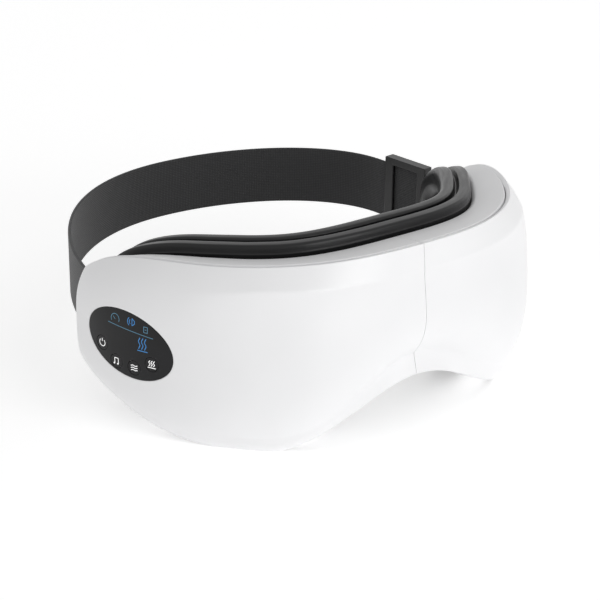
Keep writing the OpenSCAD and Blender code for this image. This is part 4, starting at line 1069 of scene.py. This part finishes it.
# %% Inner materials
# Drawn steel: a cool grey metal with tight, bright highlights.
steel = moulded("drawn_steel", "#c9ccd0", "#b4b8bd", 0.3, 0.5, 0.002, Metallic=1.0)
# Turned brass: a warm yellow metal with the same tight highlights.
brass = moulded("turned_brass", "#d2b06a", "#bd9850", 0.3, 0.5, 0.002, Metallic=1.0)
# Tinned steel: a whiter, slightly duller metal than the drawn steel.
tinned_switch = moulded("tinned_switch_steel", "#cfd1d3", "#b9bcbf", 0.35, 0.4, 0.002, Metallic=1.0)
# Board resin under green lacquer: a dark green with a half gloss.
board_resin = moulded("green_board_resin", "#1f5a3c", "#174a30", 0.42, 0.6, 0.01)
# Natural grey nylon: a mid grey, dull and a little waxy.
carrier_nylon = moulded("grey_moulded_nylon", "#8d9196", "#7f8388", 0.5, 0.8, 0.006)
# Filled nylon: a dark grey, dull, so these parts sink into the shade.
dark_nylon = moulded("dark_moulded_nylon", "#3a3c3f", "#2f3134", 0.48, 0.8, 0.006)
# Black nylon: nearly black, with a soft shine along the buckle's rounded rails.
buckle_nylon = moulded("black_buckle_nylon", "#121213", "#0c0c0d", 0.4, 0.5, 0.008)
# Laminated foil: a silver skin with a faint crinkle in its reflections.
battery_foil = moulded("silver_battery_foil", "#c8cbd0", "#b2b6bc", 0.28, 0.9, 0.02, Metallic=1.0)
# Silicone: a milky white tube with a smooth, soft shine.
soft_tube = moulded("clear_silicone_tube", "#dfe2e4", "#d2d6d9", 0.35, 0.9, 0.004)
# Welded film: a mid grey with a slight wrinkle.
bladder_film = moulded("grey_bladder_film", "#8a8d92", "#7c7f84", 0.4, 1.4, 0.03)
# Polyimide film: a clear amber brown, smooth and half glossy.
heating_film = moulded("amber_heating_film", "#c07e3c", "#a86a2e", 0.35, 1.2, 0.01)
# Display glass: a dark blue, nearly as glossy as the window in front of it.
display_glass = moulded("dark_display_glass", "#1d2a4a", "#162038", 0.12, 3.0, 0.001)

CAD_FINISH = {
    steel: ["hinge_leaf_left", "hinge_leaf_right", "hinge_pin", "hinge_screws_left", "hinge_screws_right",
            "carrier_screws_left", "carrier_screws_right", "strap_pin_left", "strap_pin_right",
            "vib_motor_left", "vib_motor_right", "charge_socket"],
    brass: ["vib_weight_left", "vib_weight_right", "pump_crank"],
    tinned_switch: ["key_switches"],
    board_resin: ["main_board", "display_board", "charge_board"],
    carrier_nylon: ["carrier_left", "carrier_right"],
    dark_nylon: ["pump_body", "valve_body", "valve_plunger", "speaker",
                 "strap_anchor_left", "strap_anchor_right"],
    buckle_nylon: ["buckle"],
    battery_foil: ["battery"],
    soft_tube: ["pump_tube", "air_line_right"],
    bladder_film: ["bladder_left", "bladder_right"],
    heating_film: ["heater_left", "heater_right"],
    display_glass: ["display_module"],
}
for material, names in CAD_FINISH.items():
    for name in names:
        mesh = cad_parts[name].data
        mesh.materials.clear()
        mesh.materials.append(material)
print("CAD nodes finished:", sum(len(names) for names in CAD_FINISH.values()))

# %% [markdown]
# One soft air line crosses the fold, from the valve in one pod to the bladder in the other.
# Its CAD solid is stiff, and a fold would leave it standing in the air. So a round section is carried
# along the same points.

# %% The crossing air line
HOSE_DIAMETER = 3.2
HOSE_WALL = 0.6
HOSE_EDGE = 0.1
HOSE_SIDES = 16
HOSE_STEPS = 400
# A direction that the line never takes, to measure its sides from.
HOSE_LEAN = (0.3, 0.2, 0.93)
CROSS_HALF = 14
CROSS_Y = HINGE_Y - 7.5
CROSS_Z = RIM_HEIGHT - 7.3
POD_STATION = 27.5
VALVE_DEPTH = 4.95
OUTLET_ALONG = 15
OUTLET_Z = 62.65
INLET_STATION = 44
INLET_DEPTH = 7.7
INLET_Z = 40
flip = np.array([-1, 1, 1])


def ring_points(line, radius):
    """A circle round each point of a line, square to it: cosine along one side, sine along the other."""
    way = unit(np.gradient(line, axis=0))
    side = unit(np.cross(way, HOSE_LEAN))
    up = np.cross(side, way)
    turn = np.linspace(0, 2 * np.pi, HOSE_SIDES, endpoint=False)[None, :, None]
    away = np.cos(turn) * side[:, None] + np.sin(turn) * up[:, None]
    return (line[:, None] + radius * away).reshape(-1, 3)


# From the valve's outlet up and over the nose, then down to the other bladder's inlet.
corners = np.array([
    local_point(POD_STATION, OUTLET_ALONG, VALVE_DEPTH, OUTLET_Z),
    local_point(POD_STATION, OUTLET_ALONG, VALVE_DEPTH, CROSS_Z - 1.8),
    local_point(POD_STATION, 2, 3, CROSS_Z - 1.5),
    (CROSS_HALF, CROSS_Y, CROSS_Z),
    (-CROSS_HALF, CROSS_Y, CROSS_Z),
    flip * local_point(POD_STATION, 0, 1, CROSS_Z - 1.5),
    flip * local_point(INLET_STATION, 0, 2, CROSS_Z - 4),
    flip * local_point(INLET_STATION, 0, 2, INLET_Z),
    flip * local_point(INLET_STATION, 0, INLET_DEPTH, INLET_Z)])
line, s = even_line(corners, HOSE_STEPS)
outer = ring_points(line, HOSE_DIAMETER / 2)
inner = ring_points(line, HOSE_DIAMETER / 2 - HOSE_WALL)
sheet = close_sheet(outer, inner, grid_quads(HOSE_STEPS, HOSE_SIDES, wrap_cols=True), HOSE_EDGE)
hose = new_piece("air_hose_cross", *sheet, soft_tube)
print("Crossing air line, mm:", round(float(s[-1])))

# %% [markdown]
# The buckle keeps its CAD bars and rails too. A moulding has rounded edges, so a bevel is added to it.
# A CAD mesh is loose triangles, so its points are joined first.

# %% Buckle edges
BUCKLE_ROUND = 0.5
JOIN_WITHIN = 0.01
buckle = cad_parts["buckle"]
buckle.modifiers.new("join", "WELD").merge_threshold = JOIN_WITHIN * MM
bevel = buckle.modifiers.new("round_edges", "BEVEL")
bevel.width = BUCKLE_ROUND * MM
bevel.segments = 3
bevel.limit_method = "ANGLE"
print("Modifiers on the buckle:", len(buckle.modifiers))

# %% [markdown]
# Each new piece now rides on the CAD body that carries it, and the CAD nodes it stands for are hidden.
# The cushion, the lining, the air line and the strap cross the fold or a temple; they keep their places
# in the open mask, and the CAD nodes they stand for are hidden.

# %% Pieces on their bodies
RIGID = [
    (shell_left, "left_half", "white_shell", ["shell_left"]),
    (shell_right, "right_half", "white_shell", ["shell_right"]),
    (frame_left, "left_half", "grey_frame", ["frame_left"]),
    (frame_right, "right_half", "grey_frame", ["frame_right"]),
    (web_left, "left_half", "grey_frame", []),
    (web_right, "right_half", "grey_frame", []),
    (lens, "left_half", "black_lens", ["panel_lens"]),
    (display_signs, "left_half", "display", []),
    (display_sound, "left_half", "display", []),
    (display_heat, "left_half", "display", []),
]
RIGID += [(keys[name], name, "key_black", [name]) for name in KEY_PLACES]
RIGID += [(key_signs[name], name, "key_black", []) for name in KEY_PLACES]
for piece, body, slot, nodes in RIGID:
    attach(piece, body)
    if nodes:
        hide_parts(*nodes)

# The last two numbers are the places across the mask, in millimetres, between which the real piece bends.
BENDING = [(cushion, "black_cushion", ["cushion_left", "cushion_right"], (-20, 20)),
           (lining, "black_lining", ["lining_left", "lining_right"], (-20, 20)),
           (hose, "soft_tube", ["air_line_cross"], (-1.5, 1.5)),
           (strap, "strap_web", ["strap"], (-85, -25))]
for piece, slot, nodes, (first, last) in BENDING:
    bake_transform(piece)
    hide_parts(*nodes)
print("Pieces riding:", len(RIGID), "bending:", len(BENDING))

# %% [markdown]
# The object is seen from the front and the panel side, a little from above.
# A short lens close by would spread the temples apart. This one is long, so they stay nearly parallel,
# and the shift sets the mask where the picture has it.

# %% Camera
AIM = Vector((0, 19, 35)) * MM
VIEW_WAY = Vector((0.534, 0.757, -0.376)).normalized()
CAMERA_DISTANCE = 732 * MM
camera_data = bpy.data.cameras.new("camera")
camera_data.lens = 106.1
camera_data.sensor_width = 36
camera_data.shift_x = 0.0817
camera_data.shift_y = -0.0783
camera_data.clip_start = 0.01
camera = bpy.data.objects.new("camera", camera_data)
camera.location = AIM - VIEW_WAY * CAMERA_DISTANCE
camera.rotation_euler = VIEW_WAY.to_track_quat("-Z", "Y").to_euler()
bpy.context.scene.collection.objects.link(camera)
bpy.context.scene.camera = camera
print("Camera at, mm:", [round(n / MM) for n in camera.location])

# %% [markdown]
# The mask stands on white paper in soft light. More lamps could make the paper white, but they would also
# bleach the shells. So the paper and the sky look brighter to the camera, and in reflections, than the
# light that they give. The paper does glow faintly, because here nearly as much light comes from below.

# %% Floor and sky
WHITE = linear("#ffffff")
FLOOR_REACH = 6.0
FLOOR_GLOW = {"To Min": 0.28, "To Max": 0.44}
SKY_LIGHT = {"To Min": 0.52, "To Max": 1.0}
scene = bpy.context.scene
scene.view_settings.view_transform = "Standard"


def seen_rays(tree):
    """1 for the rays that look at the background: from the camera, off a gloss or through a clear piece."""
    rays = add(tree, "ShaderNodeLightPath").outputs
    either = add(tree, "ShaderNodeMath", {0: rays["Is Camera Ray"], 1: rays["Is Glossy Ray"]},
                 operation="MAXIMUM").outputs["Value"]
    return add(tree, "ShaderNodeMath", {0: either, 1: rays["Is Transmission Ray"]},
               operation="MAXIMUM").outputs["Value"]


# White paper: flat and shineless, it only takes the soft shadow.
floor_white, tree, principled = new_material("white_paper_floor", Roughness=0.9, Base_Color=linear("#f7f7f7"),
                                             Emission_Color=WHITE)
glow = add(tree, "ShaderNodeMapRange", {"Value": seen_rays(tree), **FLOOR_GLOW})
fill(tree, principled, {"Emission Strength": glow.outputs["Result"]})
floor_mesh = bpy.data.meshes.new("floor")
floor_corners = [(FLOOR_REACH * x, FLOOR_REACH * y, 0) for x, y in ((-1, -1), (1, -1), (1, 1), (-1, 1))]
floor_mesh.from_pydata(floor_corners, [], [(0, 1, 2, 3)])
floor_mesh.materials.append(floor_white)
floor = bpy.data.objects.new("floor", floor_mesh)
scene.collection.objects.link(floor)

world = bpy.data.worlds.new("studio")
world.use_nodes = True
scene.world = world
tree = world.node_tree
sky = add(tree, "ShaderNodeMapRange", {"Value": seen_rays(tree), **SKY_LIGHT})
fill(tree, tree.nodes["Background"], {"Color": WHITE, "Strength": sky.outputs["Result"]})
print("Floor and sky:", floor_white.name, world.name)


# %% Lamps
def soft_lamp(name, way, distance, size, watts):
    """A square area lamp that looks at the object from one direction."""
    data = bpy.data.lights.new(name, "AREA")
    data.size = size
    data.energy = watts
    lamp = bpy.data.objects.new(name, data)
    way = Vector(way).normalized()
    lamp.location = AIM + way * distance
    lamp.rotation_euler = (-way).to_track_quat("-Z", "Y").to_euler()
    scene.collection.objects.link(lamp)
    print(name, watts, "W")


# The low front lamp shapes the face; the weak top lamp only lifts the ledge and the cushion's lips.
soft_lamp("front_lamp", (0.15, -0.98, 0.03), 1.7, 1.2, 15)
soft_lamp("top_lamp", (0.1, -0.1, 1.0), 1.8, 1.4, 1.5)
